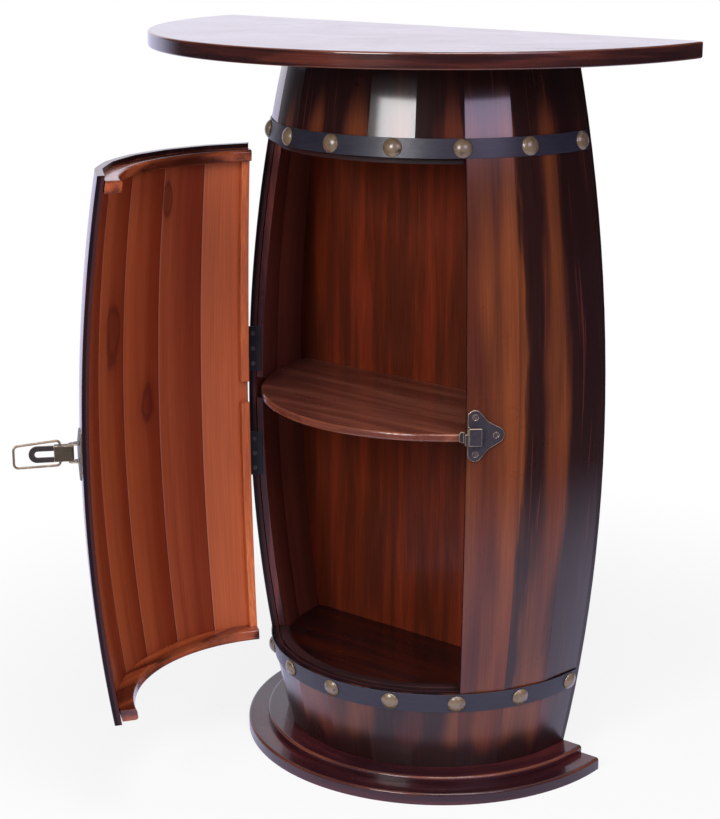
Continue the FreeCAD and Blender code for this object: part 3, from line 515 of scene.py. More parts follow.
def screw_tree():
    """A cross-head screw at each point of a mesh, along the point's own 'facing' direction."""
    inputs = {"Geometry": "Geometry", **sockets("Float", "Head Radius", "Head Height", "Length"),
              "Seed": "Int", "Finish": "Material"}
    tree, size, end = new_tree("cross-head screws", "GeometryNodeTree", inputs, {"Geometry": "Geometry"})
    facing = read(tree, "facing", "FLOAT_VECTOR")
    aimed = flow(tree, "FunctionNodeAlignRotationToVector", {"Vector": facing}, axis="Z")
    spin = flow(tree, "FunctionNodeRandomValue", {2: 0.0, 3: math.pi, 8: size["Seed"]}, 1, data_type="FLOAT")
    about = flow(tree, "FunctionNodeAxisAngleToRotation", {0: (0, 0, 1), 1: spin})
    turned = flow(tree, "FunctionNodeRotateRotation", {0: aimed, 1: about}, rotation_space="LOCAL")
    scale = read(tree, "size")
    screws = copied(tree, size["Geometry"], cross_head_screw(tree, size), Rotation=turned,
                    Scale=vector(tree, scale, scale, 1.0))
    join(tree, painted(tree, screws, size["Finish"]), end.inputs[0])
    return tree


# ---- from a tree to a piece ----
def settled(piece):
    """Turn the object's modifiers into plain mesh."""
    graph = bpy.context.evaluated_depsgraph_get()
    mesh = bpy.data.meshes.new_from_object(piece.evaluated_get(graph), preserve_all_data_layers=True,
                                           depsgraph=graph)
    piece.modifiers.clear()
    piece.data = mesh
    return piece


def grown(name, tree, values, base=None):
    """The piece that a Geometry Nodes tree makes from the named values."""
    piece = bpy.data.objects.new(name, base or bpy.data.meshes.new(name))
    bpy.context.scene.collection.objects.link(piece)
    modifier = piece.modifiers.new(tree.name, "NODES")
    modifier.node_group = tree
    for item in tree.interface.items_tree:
        if item.in_out == "INPUT" and item.name in values:
            modifier[item.identifier] = values[item.name]
    return settled(piece)


def smoothed(piece):
    """Shade a piece's faces smooth."""
    for polygon in piece.data.polygons:
        polygon.use_smooth = True


def eased(piece, width):
    """Round a piece's edges by the weights that its tree gave them."""
    bevel = piece.modifiers.new("easing", "BEVEL")
    bevel.width = width
    bevel.segments = 2
    bevel.limit_method = "WEIGHT"
    bevel.harden_normals = True
    smoothed(piece)
    return settled(piece)


def joined(name, pieces):
    """One piece from several."""
    with bpy.context.temp_override(active_object=pieces[0], object=pieces[0], selected_objects=pieces,
                                   selected_editable_objects=pieces):
        bpy.ops.object.join()
    pieces[0].name = name
    return pieces[0]


def open_door():
    """The turn that takes a closed door to the rest pose."""
    hinge = next(joint for joint in frame["joints"] if joint["name"] == "door_hinge")
    place = Matrix.Translation(Vector(hinge["pos_m"]))
    turn = Matrix.Rotation(math.radians(hinge["range_deg"][0]), 4, "Z")
    return place @ turn @ place.inverted()


def barrel_values():
    """The values that give the barrel's round form."""
    barrel = bpy.context.scene.barrel_sizes
    return {"Bulge Radius": barrel.bulge_radius, "Bulge Height": barrel.bulge_height,
            "Arc Radius": barrel.arc_radius}


def stave_values(first, count, low, high, start, end):
    """Values for a row of staves from the height low to high and from the angle start to end."""
    barrel = bpy.context.scene.barrel_sizes
    return {**barrel_values(), "Thickness": barrel.thickness,
            "Bottom": low, "Top": high, "Opening Bottom": low, "Opening Top": high,
            "Start Angle": start, "End Angle": end, "Count": count, "First": float(first),
            "Start Gap": barrel.seam_gap, "End Gap": barrel.seam_gap, "Seam Gap": barrel.seam_gap,
            "Outer Flatness": barrel.outer_flatness, "Inner Flatness": barrel.inner_flatness,
            "Seed": STAVE_SEED,
            "Outer Finish": material("lacquered staves"), "Inner Finish": material("barrel inside")}


# ---- shader groups ----
def object_place(tree):
    return flow(tree, "ShaderNodeTexCoord", output="Object")


def long_grain_group():
    """Broad streaks, fine lines and pores that run along a board."""
    inputs = {"Place": "Vector", **sockets("Float", "Width", "Length")}
    tree, value, end = new_tree("long grain", "ShaderNodeTree", inputs,
                                sockets("Float", "Streak", "Fine", "Pores"))
    x, y, z = value["Place"].parts()

    def drawn(across, along):
        """The place, packed closer by so many times across and along the grain."""
        return vector(tree, x / value["Width"] * across, y / value["Width"] * across,
                      z / value["Length"] * along)

    join_all(tree, {"Streak": noise(tree, drawn(1.0, 1.0), 1.0, 3.0, 0.5, 0.35),
                    "Fine": noise(tree, drawn(14.0, 5.0), 1.0, 4.0, 0.6, 0.2),
                    "Pores": noise(tree, drawn(34.0, 16.0), 1.0, 2.0, 0.5).ramp(0.62, 0.78)}, end)
    return tree


def edge_wear_group():
    """A mask of a piece's rounded edges, broken up by small patches."""
    tree, value, end = new_tree("edge wear", "ShaderNodeTree",
                                sockets("Float", "Radius", "Patches"), {"Worn": "Float", "Normal": "Vector"})
    rounded = flow(tree, "ShaderNodeBevel", {"Radius": value["Radius"]}, samples=6)
    plain = flow(tree, "ShaderNodeNewGeometry", output="Normal")
    edge = dot(tree, rounded, plain).ramp(0.995, 0.82, 0.0, 1.0)
    patches = noise(tree, object_place(tree), value["Patches"], 3.0, 0.6).ramp(0.3, 0.55)
    join_all(tree, {"Worn": edge * patches, "Normal": rounded}, end)
    return tree


def smudge_group():
    """Slight changes of gloss, as handling and dust leave them."""
    tree, value, end = new_tree("smudges", "ShaderNodeTree", {"Scale": "Float"}, {"Smudge": "Float"})
    join(tree, noise(tree, object_place(tree), value["Scale"], 4.0, 0.65, 0.6), end.inputs["Smudge"])
    return tree


def use_group(tree, name, inputs):
    """A shader group's outputs by name; the group is made when it is first used."""
    makers = {"long grain": long_grain_group, "edge wear": edge_wear_group, "smudges": smudge_group}
    group = bpy.data.node_groups.get(name) or makers[name]()
    made = add_node(tree, "ShaderNodeGroup", inputs, node_tree=group)
    return {socket.name: Flow(tree, socket) for socket in made.outputs}


def long_grain(tree, place, width, along):
    return use_group(tree, "long grain", {"Place": place, "Width": width, "Length": along})


def edge_wear(tree, radius, patches):
    return use_group(tree, "edge wear", {"Radius": radius, "Patches": patches})


def smudges(tree, scale):
    return use_group(tree, "smudges", {"Scale": scale})["Smudge"]


# ---- materials ----
def blank_material(name):
    made = bpy.data.materials.new(name)
    made.use_nodes = True
    return made, made.node_tree, made.node_tree.nodes["Principled BSDF"]


def attribute(tree, name, output="Fac"):
    return flow(tree, "ShaderNodeAttribute", output=output, attribute_name=name)


def bump(tree, height, distance, normal=None):
    return flow(tree, "ShaderNodeBump",
                {"Height": height, "Distance": distance, "Strength": 1.0, "Normal": normal})


def end_grain(tree):
    """A mask of the faces that look up or down."""
    normal = flow(tree, "ShaderNodeNewGeometry", output="True Normal")
    return normal.parts()[2].math("ABSOLUTE").ramp(0.6, 0.8)


def stave_grain(tree, x, y, z, stave, width, along):
    """Grain of its own for each stave."""
    return long_grain(tree, vector(tree, x, stave * 1.7 + y, z), width, along)


def at_foot(height):
    """A mask of the barrel's foot."""
    return height.ramp(FOOT_START, FOOT_FULL)


def spray_and_painted_shade(tree, x, z, streak):
    """How dark the staves are, from 0 to 1: sprayed in soft upright bands, darker at the lower end, with
    painted shade at the top under the table and on the sides towards the wall, and a painted sheen
    lightening the stave beside the latch.
    """
    tone, turn = attribute(tree, "tone"), attribute(tree, "turn")
    foot = at_foot(z)
    drift = noise(tree, vector(tree, turn * 1.5, 0.0, z * 3.2), 1.0, 1.0) - 0.5
    feather = noise(tree, vector(tree, turn * 22.0, 0.0, z * 9.0), 1.0, 3.0, 0.6) - 0.5
    across = x / STAVE_WIDTH + drift * 0.9 + feather * 0.45

    def wave(middle):
        """1 at one place across each stave and -1 half a stave away."""
        return ((across - middle) * (2 * math.pi)).math("COSINE")

    off_latch = (turn - BESIDE_LATCH).math("ABSOLUTE")
    blur = BESIDE_LATCH_BLUR
    # partly painted sheen: the stave beside the latch is made lighter and evener where the right softbox's
    # sheen falls; partly that stave's own tone
    sheen_and_tone_beside_latch = off_latch.ramp(BESIDE_LATCH_HALF + blur, BESIDE_LATCH_HALF - blur) * foot.dims(0.8)
    glow = wave(GLOW_PLACE) * (tone * 0.1 + 0.13) * foot.dims(0.6) * sheen_and_tone_beside_latch.dims(0.6)
    bands = wave(DARK_PLACE).ramp(0.1, 0.75) * turn.ramp(BANDS_GONE, BANDS_END) * 0.25
    bands = bands * (foot + sheen_and_tone_beside_latch).math("MINIMUM", 1.0).taken_from(1.0)
    # painted shade under the table's overhang darkens the top; the lower end is simply darker
    ends = z.ramp(TOP_SHADE_START, TOP_SHADE_FULL) * 0.45 + z.ramp(LOW_START, LOW_FULL) * 0.5 - foot * 0.05
    # painted shade: the sides grow darker as they turn towards the wall
    painted_side_shade = turn.math("ABSOLUTE").ramp(SIDE_SHADE_START, SIDE_SHADE_FULL) * 0.5
    streaks = (streak - 0.5) * 0.7 * foot.dims(0.5)
    cloud = noise(tree, vector(tree, turn * 5.0, 0.0, z * 5.5), 1.0, 1.0)
    clouds = (cloud - 0.5) * (foot * 0.9 + 0.7)
    cover = streaks - glow + clouds + ends + painted_side_shade + bands - sheen_and_tone_beside_latch * 0.2 + 0.5
    return cover.ramp(0.08, 0.78)


def scratches(tree, x, z, stave):
    """Long, slightly curled hair lines."""
    curl = (z * 9.0).math("SINE") * 0.004 + (stave * 2.1 + z * 23.0).math("SINE") * 0.0012
    return noise(tree, vector(tree, (x + curl) * 260.0, stave, z * 5.0), 1.0, 1.0, 0.5, 0.3).ramp(0.63, 0.71)


def lacquered_staves(name):
    """Glossy walnut lacquer over orange wood, sprayed dark in soft bands, darker at the barrel's lower end,
    with painted shade at its top and sides and a painted sheen beside the latch.
    """
    made, tree, shader = blank_material(name)
    x, y, z = attribute(tree, "grain", "Vector").parts()
    stave = attribute(tree, "stave")
    grain = stave_grain(tree, x, y, z, stave, 0.024, 0.42)
    dark = spray_and_painted_shade(tree, x, z, grain["Streak"])
    warm = noise(tree, vector(tree, x * 20.0, stave * 2.3, z * 2.4), 1.0, 2.0)
    base = mixed(tree, warm.ramp(0.38, 0.66), paint("stain_orange"), paint("stain_red"))
    base = mixed(tree, dark * 0.95, base, paint("stain_dark"))
    lined = mixed(tree, grain["Fine"].ramp(0.3, 0.75), (0.78, 0.75, 0.73, 1), (1.16, 1.12, 1.08, 1))
    base = mixed(tree, 0.8, base, lined, "MULTIPLY")
    scratch = scratches(tree, x, z, stave) * dark * (at_foot(z) * -0.45 + 0.65)
    base = mixed(tree, scratch, base, paint("stain_red"))
    ends_up = end_grain(tree)
    cut_edge = y.ramp(0.0002, 0.0008).math("MAXIMUM", ends_up)
    raw = mixed(tree, y.ramp(0.0035, 0.0055), paint("edge_black"), paint("frame_stain"))
    smudge = smudges(tree, 9.0)
    join_all(tree, {"Base Color": mixed(tree, cut_edge * 0.95, base, raw),
                    "Roughness": smudge.ramp(0.3, 0.7, 0.26, 0.38) + grain["Pores"] * 0.05,
                    "Normal": bump(tree, grain["Fine"] * 0.2 + smudge * 0.6, 0.00018),
                    "Specular IOR Level": 0.12,
                    "Coat Weight": (cut_edge - ends_up).ramp(0.0, 1.0, 0.9, 0.15),
                    "Coat Roughness": z.ramp(0.14, 0.1, 0.11, 0.26)}, shader)
    return made


def knot(across, height, ring_noise, centre, size):
    """A soft dark heart with a darker rim, as a mask over one stave."""
    u = (across - centre[0]) / size[0]
    v = (height - centre[1]) / size[1]
    away = (u * u + v * v).math("SQRT") + (ring_noise - 0.5) * 1.5
    rim = away.ramp(0.6, 1.0) * away.ramp(1.5, 1.0) * 0.42
    return away.ramp(1.3, 0.3) * 0.32 + rim + away.ramp(2.6, 1.0) * 0.2


def inside_wood(name, light, mid, knots):
    """Satin wood inside, each plank with its own tone and with painted shading across it, and a painted
    highlight along one edge of its seam; painted light makes the plank beside the hinges the palest.
    """
    made, tree, shader = blank_material(name)
    x, y, z = attribute(tree, "grain", "Vector").parts()
    stave, tone = attribute(tree, "stave"), attribute(tree, "tone")
    grain = stave_grain(tree, x, y, z, stave, 0.018, 0.5)
    across = x / STAVE_WIDTH
    # painted light: the plank beside the hinges is made the palest
    painted_hinge_light = stave.ramp(0.6, 0.4)
    # painted shading across each plank, lighter towards one edge; weaker and reversed on the plank beside
    # the hinges
    side = across * painted_hinge_light.dims(1.4)
    shade = (grain["Streak"] - 0.5) * 0.7 + (tone - 0.5) * 0.55 + side * 0.55 + painted_hinge_light * 0.75 + 0.42
    base = mixed(tree, shade.ramp(0.3, 1.2), paint(mid), paint(light))
    base = mixed(tree, shade.ramp(0.35, -0.1) * 0.75, base, paint("inside_dark"))
    lined = mixed(tree, grain["Fine"].ramp(0.3, 0.72), (0.86, 0.83, 0.8, 1), (1.08, 1.08, 1.08, 1))
    base = mixed(tree, 0.9, base, lined, "MULTIPLY")
    ring_noise = noise(tree, vector(tree, x * 45.0, stave, z * 30.0), 1.0, 2.0)
    for plank, centre, size in knots:
        here = (stave - plank).math("ABSOLUTE").math("LESS_THAN", 0.3)
        mask = knot(x, z, ring_noise, centre, size) * here
        base = mixed(tree, mask.math("MINIMUM", 0.85), base, paint("knot_red"))
    # painted highlight along one edge of each seam
    base = mixed(tree, across.ramp(SEAM_HIGHLIGHT, SEAM_LINE) * 0.35, base, paint("painted_seam_highlight"))
    base = mixed(tree, across.ramp(-SEAM_SHADOW, -SEAM_LINE) * 0.55, base, paint("inside_dark"))
    unsanded = end_grain(tree)
    if knots:
        above_rail = z.ramp(RAIL_TOP - RAIL_TOP_BLUR, RAIL_TOP + RAIL_TOP_BLUR)
        unsanded = above_rail.math("MAXIMUM", unsanded)
    speckled = mixed(tree, grain["Pores"], paint("stain_dark"), paint("inside_mid"))
    smudge = smudges(tree, 14.0)
    join_all(tree, {"Base Color": mixed(tree, unsanded, base, speckled),
                    "Roughness": smudge.ramp(0.3, 0.7, 0.34, 0.48) + grain["Pores"] * 0.1,
                    "Normal": bump(tree, grain["Fine"] * 0.5 + smudge * 0.4, 0.0002),
                    "Specular IOR Level": 0.2, "Coat Weight": 0.25, "Coat Roughness": 0.25}, shader)
    return made


def board_wood(name, dark, light, order, wear, roughness, coat, width=0.02, dark_sides=0.0):
    """Stained boards; order names the two directions across the grain and the one along it.

    O is outward from the barrel's axis and R is round it. A second order is for the upright faces.
    """
    made, tree, shader = blank_material(name)
    x, y, z = object_place(tree).parts()
    axes = {"X": x, "Y": y, "Z": z, "O": (x * x + y * y).math("SQRT"),
            "R": x.math("ARCTAN2", y * -1.0) * ROUND_RADIUS}
    flat, upright = order.split() if " " in order else (order, order)
    side = end_grain(tree).taken_from(1.0)
    place = [axes[a] if a == b else axes[a] + (axes[b] - axes[a]) * side for a, b in zip(flat, upright)]
    grain = long_grain(tree, vector(tree, *place), width, width * 14.0)
    worn = edge_wear(tree, 0.0012, 60.0)
    normal = flow(tree, "ShaderNodeNewGeometry", output="Normal")
    lean = normal.parts()[2].math("ABSOLUTE")
    rubbed = lean.ramp(0.12, 0.45) * lean.ramp(0.985, 0.9) * grain["Streak"].ramp(0.35, 0.65, 0.15, 1.0)
    rubbed = rubbed.math("MAXIMUM", worn["Worn"])
    base = mixed(tree, grain["Streak"].ramp(0.38, 0.72), paint(dark), paint(light))
    lined = mixed(tree, grain["Fine"].ramp(0.3, 0.72), (0.74, 0.7, 0.68, 1), (1.16, 1.12, 1.08, 1))
    base = mixed(tree, 0.9, base, lined, "MULTIPLY")
    base = mixed(tree, rubbed * wear, base, paint("board_worn"))
    base = mixed(tree, grain["Pores"] * 0.3, base, paint(dark))
    if dark_sides:
        outer_edge = normal.parts()[0].math("ABSOLUTE").ramp(0.5, 0.8) * dark_sides
        base = mixed(tree, outer_edge, base, paint("stain_dark"))
    smudge = smudges(tree, 10.0)
    join_all(tree, {"Base Color": base,
                    "Roughness": smudge.ramp(0.3, 0.7, roughness - 0.06, roughness + 0.08),
                    "Normal": bump(tree, grain["Fine"] * 0.4 + smudge * 0.5, 0.0002, worn["Normal"]),
                    "Specular IOR Level": 0.3, "Coat Weight": coat,
                    "Coat Roughness": roughness * 0.4}, shader)
    return made


def hoop_iron(name):
    """Blackened iron, rubbed in fine rings round the barrel."""
    made, tree, shader = blank_material(name)
    x, y, z = object_place(tree).parts()
    rubbed = noise(tree, vector(tree, x * 40.0, y * 40.0, z * 900.0), 1.0, 3.0, 0.6)
    smudge = smudges(tree, 30.0)
    worn = edge_wear(tree, 0.0006, 90.0)
    base = mixed(tree, rubbed.ramp(0.35, 0.7), paint("iron"), paint("iron", 1.4))
    join_all(tree, {"Base Color": mixed(tree, worn["Worn"] * 0.25, base, paint("steel")),
                    "Roughness": smudge.ramp(0.3, 0.7, 0.34, 0.46) + rubbed * 0.08,
                    "Normal": bump(tree, rubbed * 0.6 + smudge, 0.0002, worn["Normal"]),
                    "Specular IOR Level": 0.4, "Coat Weight": 0.2, "Coat Roughness": 0.25}, shader)
    return made


def nail_brass(name):
    """Pale brass with painted shade round each nail's rim, and some darker smudges."""
    made, tree, shader = blank_material(name)
    smudge = smudges(tree, 160.0)
    # painted shade towards each nail's rim, with a few darker smudges
    old = attribute(tree, "rim").ramp(0.72, 1.0) * 0.85 + smudge.ramp(0.5, 0.8) * 0.2
    join_all(tree, {"Base Color": mixed(tree, old.math("MINIMUM", 1.0), paint("brass"), paint("brass_rim_shade")),
                    "Roughness": smudge.ramp(0.3, 0.7, 0.3, 0.42),
                    "Normal": bump(tree, smudge, 0.0002),
                    "Coat Weight": 1.0, "Coat Roughness": 0.24}, shader)
    return made


def old_bronze(name, shade, wear, metallic=0.6, coat=0.4):
    """Dull bronze with rubbed edges; wear says how bare they are."""
    made, tree, shader = blank_material(name)
    smudge = smudges(tree, 120.0)
    worn = edge_wear(tree, 0.0013, 120.0)
    base = mixed(tree, smudge.ramp(0.35, 0.75), paint(shade), paint(shade, 0.6))
    base = mixed(tree, (worn["Worn"] * wear).math("MINIMUM", 1.0), base, paint("bronze_worn"))
    join_all(tree, {"Base Color": base, "Metallic": metallic,
                    "Roughness": smudge.ramp(0.3, 0.7, 0.34, 0.5) - worn["Worn"] * 0.1,
                    "Normal": bump(tree, smudge, 0.00018, worn["Normal"]),
                    "Coat Weight": coat, "Coat Roughness": 0.25}, shader)
    return made


def plain_steel(name):
    """Dull steel with a little tarnish."""
    made, tree, shader = blank_material(name)
    smudge = smudges(tree, 120.0)
    join_all(tree, {"Base Color": mixed(tree, smudge, paint("steel"), paint("steel", 0.6)), "Metallic": 1.0,
                    "Roughness": smudge.ramp(0.3, 0.7, 0.3, 0.45)}, shader)
    return made


FINISHES = {
    "lacquered staves": lacquered_staves,
    "barrel inside": partial(inside_wood, light="barrel_light", mid="barrel_mid", knots=()),
    "door inside": partial(inside_wood, light="inside_light", mid="inside_mid", knots=KNOTS),
    "table board": partial(board_wood, dark="board_dark", light="board_warm", order="YZX ZOR",
                           wear=0.4, roughness=0.2, coat=1.0, width=0.012),
    "plinth board": partial(board_wood, dark="plinth_dark", light="plinth_red", order="ZOR",
                            wear=0.5, roughness=0.28, coat=0.5),
    "shelf board": partial(board_wood, dark="shelf_dark", light="shelf_light", order="YZX",
                           wear=0.6, roughness=0.3, coat=0.7),
    "inner board": partial(board_wood, dark="stain_dark", light="inside_dark", order="YZX",
                           wear=0.2, roughness=0.3, coat=0.6),
    "back board": partial(board_wood, dark="back_dark", light="inside_mid", order="XYZ",
                          wear=0.2, roughness=0.4, coat=0.1, dark_sides=0.95),
    "door rail": partial(board_wood, dark="inside_dark", light="inside_light", order="XZY",
                         wear=0.3, roughness=0.3, coat=1.0),
    "door stile": partial(board_wood, dark="stile_mid", light="stile_light", order="XYZ",
                          wear=0.3, roughness=0.4, coat=0.3),
    "dark frame": partial(board_wood, dark="frame_stain", light="jamb_red", order="XYZ",
                          wear=0.1, roughness=0.3, coat=0.3),
    # painted shade: the head and sill rails are near-black and matt, as dark as the shaded interior they
    # stand against
    "dark rail": partial(board_wood, dark="stain_dark", light="frame_stain", order="ZOR",
                         wear=0.1, roughness=0.6, coat=0.0),
    "hoop iron": hoop_iron,
    "nail brass": nail_brass,
    "old bronze": partial(old_bronze, shade="bronze", wear=1.6),
    "olive bronze": partial(old_bronze, shade="bronze_olive", wear=1.3),
    "bare bronze": partial(old_bronze, shade="bronze_bare", wear=1.0),
    "black hinge": partial(old_bronze, shade="edge_black", wear=0.0, metallic=0.0, coat=0.0),
    "dark bronze": partial(old_bronze, shade="bronze_dark", wear=0.1, metallic=0.3),
    "bronze screw": partial(old_bronze, shade="bronze", wear=0.3),
    "screw steel": plain_steel,
}


def material(name):
    """The finish of that name, made when it is first asked for."""
    return bpy.data.materials.get(name) or FINISHES[name](name)


def finish_nodes(finish, *names):
    """Give CAD nodes a finish; a name may end in * for every node that starts so."""
    for name in names:
        found = [node for key, node in frame["nodes"].items()
                 if key == name or (name.endswith("*") and key.startswith(name[:-1]))]
        if not found:
            raise RuntimeError("no CAD node is called " + name)
        for node in found:
            for place in node.material_slots:
                place.material = material(finish)


def nodes_called(*starts):
    return sorted(name for name in frame["nodes"] if name.startswith(starts))


# ---- one operator for each piece ----
class BARREL_OT_fixed_staves(bpy.types.Operator):
    """Make the staves that are fixed to the cabinet"""
    bl_idname = "barrel.fixed_staves"
    bl_label = "Fixed staves"

    def execute(self, context):
        barrel = context.scene.barrel_sizes
        quarter = math.radians(90)
        left = stave_values(LEFT_FIRST, barrel.side_staves, barrel.bottom, barrel.top,
                            -quarter, barrel.hinge_side)
        right = stave_values(RIGHT_FIRST, barrel.side_staves, barrel.bottom, barrel.top,
                             barrel.latch_side, quarter)
        for side in (left, right):
            side.update({"Opening Bottom": barrel.opening_bottom, "Opening Top": barrel.opening_top})
        left["End Gap"] = barrel.hinge_gap
        right["Start Gap"] = barrel.latch_gap
        upper = stave_values(UPPER_FIRST, barrel.door_staves, barrel.opening_top, barrel.top,
                             barrel.hinge_side, barrel.latch_side)
        lower = stave_values(LOWER_FIRST, barrel.door_staves, barrel.bottom, barrel.opening_bottom,
                             barrel.hinge_side, barrel.latch_side)
        tree = bpy.data.node_groups.get("barrel staves") or stave_tree()
        groups = [grown("group", tree, values) for values in (left, right, upper, lower)]
        piece = eased(joined("barrel_staves", groups), barrel.edge_ease)
        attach(piece, "cabinet")
        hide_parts(*nodes_called("left_stave", "right_stave", "upper_stave", "lower_stave"))
        return {"FINISHED"}


class BARREL_OT_door_staves(bpy.types.Operator):
    """Make the staves of the door, at the door's open rest pose"""
    bl_idname = "barrel.door_staves"
    bl_label = "Door staves"

    def execute(self, context):
        barrel = context.scene.barrel_sizes
        values = stave_values(DOOR_FIRST, barrel.door_staves, barrel.door_bottom, barrel.door_top,
                              barrel.hinge_side, barrel.latch_side)
        values.update({"Start Gap": barrel.hinge_gap, "End Gap": barrel.latch_gap,
                       "Inner Finish": material("door inside")})
        tree = bpy.data.node_groups.get("barrel staves") or stave_tree()
        piece = eased(grown("door_staves", tree, values), barrel.edge_ease)
        piece.data.transform(open_door())
        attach(piece, "door")
        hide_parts(*nodes_called("door_stave"))
        return {"FINISHED"}


class BARREL_OT_nails(bpy.types.Operator):
    """Make the domed nails in both hoops"""
    bl_idname = "barrel.nails"
    bl_label = "Hoop nails"

    def execute(self, context):
        fitting = context.scene.fitting_sizes
        values = {**barrel_values(), "Upper Hoop": fitting.upper_hoop, "Lower Hoop": fitting.lower_hoop,
                  "Count": fitting.nail_count, "Pitch": fitting.nail_pitch, "Seat": fitting.nail_seat,
                  "Head Radius": fitting.nail_radius, "Head Height": fitting.nail_height,
                  "Rim": fitting.nail_rim, "Finish": material("nail brass")}
        piece = grown("domed_nails", nail_tree(), values)
        smoothed(piece)
        piece.data.set_sharp_from_angle(angle=NAIL_SHARP_EDGE)
        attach(piece, "cabinet")
        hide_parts("hoop_nails")
        return {"FINISHED"}


class BARREL_OT_screws(bpy.types.Operator):
    """Make the cross-head screws of the plates and hinges"""
    bl_idname = "barrel.screws"
    bl_label = "Screws"

    def execute(self, context):
        fitting = context.scene.fitting_sizes
        plate, hinge = fitting.screw_radius, fitting.hinge_screw_radius
        tree = screw_tree()
        values = {"Head Radius": plate, "Head Height": fitting.screw_height, "Length": fitting.screw_length,
                  "Seed": SCREW_SEED, "Finish": material("bronze screw")}
        sets = (("cabinet_screws", "cabinet", {"keeper_screws": plate, "hinge_frame_screws": hinge}),
                ("door_screws", "door", {"latch_screws": plate, "hinge_door_screws": hinge}))
        for name, body, nodes in sets:
            piece = grown(name, tree, values, point_mesh(name, screw_spots(nodes, fitting)))
            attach(piece, body)
            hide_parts(*nodes)
        return {"FINISHED"}


def screw_spots(nodes, fitting):
    """Seat, direction and relative size of each screw head, read from the CAD screws themselves."""
    spots = []
    for name, head_radius in nodes.items():
        for points in loose_parts(frame["nodes"][name].data):
            middle = sum(points, Vector()) / len(points)
            axis = longest_direction(points, middle)
            wide = [p for p in points if off_axis(p, middle, axis) > fitting.hinge_screw_radius * HEAD_SHARE]
            head = sum(wide, Vector()) / len(wide)
            outward = axis if (head - middle).dot(axis) > 0 else -axis
            reach = max((p - middle).dot(outward) for p in wide)
            seat = middle + outward * (reach - fitting.screw_height)
            spots.append((seat, outward, head_radius / fitting.screw_radius))
    return spots


def off_axis(point, middle, axis):
    return ((point - middle) - axis * (point - middle).dot(axis)).length


def longest_direction(points, middle):
    """The axis of a long, round solid."""
    _, _, axes = numpy.linalg.svd(numpy.array([p - middle for p in points]), full_matrices=False)
    return Vector(axes[0])


def loose_parts(mesh):
    """The corner points of each separate solid in a mesh of loose triangles."""
    parent = {}

    def root(key):
        while parent[key] != key:
            parent[key] = parent[parent[key]]
            key = parent[key]
        return key

    keys = [tuple(round(c, 6) for c in vertex.co) for vertex in mesh.vertices]
    for key in keys:
        parent.setdefault(key, key)
    for polygon in mesh.polygons:
        first = root(keys[polygon.vertices[0]])
        for vertex in polygon.vertices[1:]:
            parent[root(keys[vertex])] = first
    parts = {}
    for key in parent:
        parts.setdefault(root(key), []).append(Vector(key))
    return list(parts.values())


def point_mesh(name, spots):
    """A mesh of points that carry each screw's direction and size."""
    mesh = bpy.data.meshes.new(name + "_points")
    mesh.from_pydata([place for place, _, _ in spots], [], [])
    facing = mesh.attributes.new("facing", "FLOAT_VECTOR", "POINT")
    for index, (_, outward, _) in enumerate(spots):
        facing.data[index].vector = outward
    size = mesh.attributes.new("size", "FLOAT", "POINT")
    for index, (_, _, scale) in enumerate(spots):
        size.data[index].value = scale
    return mesh


class BARREL_OT_boards(bpy.types.Operator):
    """Finish the table, the plinth, the boards inside and the rails"""
    bl_idname = "barrel.boards"
    bl_label = "Boards"

    def execute(self, context):
        finish_nodes("table board", "table_top")
        finish_nodes("plinth board", "plinth_lower_step", "plinth_upper_step")
        finish_nodes("shelf board", "shelf")
        finish_nodes("inner board", "base_board", "floor_board", "head_board", "shelf_cleats")
        finish_nodes("back board", "back_panel")
        finish_nodes("door rail", "door_top_rail", "door_bottom_rail")
        finish_nodes("door stile", "door_stile*")
        finish_nodes("dark frame", "frame_jamb*")
        # the head and sill rails get painted shade, as dark as the shaded interior
        finish_nodes("dark rail", "sill_rail", "head_rail")
        return {"FINISHED"}


class BARREL_OT_metal(bpy.types.Operator):
    """Finish the hoops, hinges, keeper, latch and hidden screws"""
    bl_idname = "barrel.metal"
    bl_label = "Metal"

    def execute(self, context):
        finish_nodes("hoop iron", "upper_hoop", "lower_hoop")
        finish_nodes("old bronze", "keeper_plate", "latch_plate")
        finish_nodes("black hinge", "upper_hinge*", "lower_hinge*", "hinge_pins")
        finish_nodes("dark bronze", "latch_tongue")
        finish_nodes("olive bronze", "latch_lever", "latch_pin")
        finish_nodes("bare bronze", "latch_bail")
        finish_nodes("screw steel", "carcass_screws")
        return {"FINISHED"}


# ---- stage ----
def ray_masks(tree):
    """Masks of camera rays, of all rays that see the pale background, and of mirror rays."""
    path = tree.nodes.new("ShaderNodeLightPath")
    camera = Flow(tree, path.outputs["Is Camera Ray"])
    glossy = Flow(tree, path.outputs["Is Glossy Ray"])
    through = Flow(tree, path.outputs["Is Transmission Ray"])
    return camera, (camera + glossy + through).math("MINIMUM", 1.0), glossy


def blended(tree, factor, first, second, end):
    """Mix two shaders and lead them to the output node called end."""
    mix = flow(tree, "ShaderNodeMixShader", {0: factor, 1: first, 2: second})
    join(tree, mix, tree.nodes[end].inputs[0])


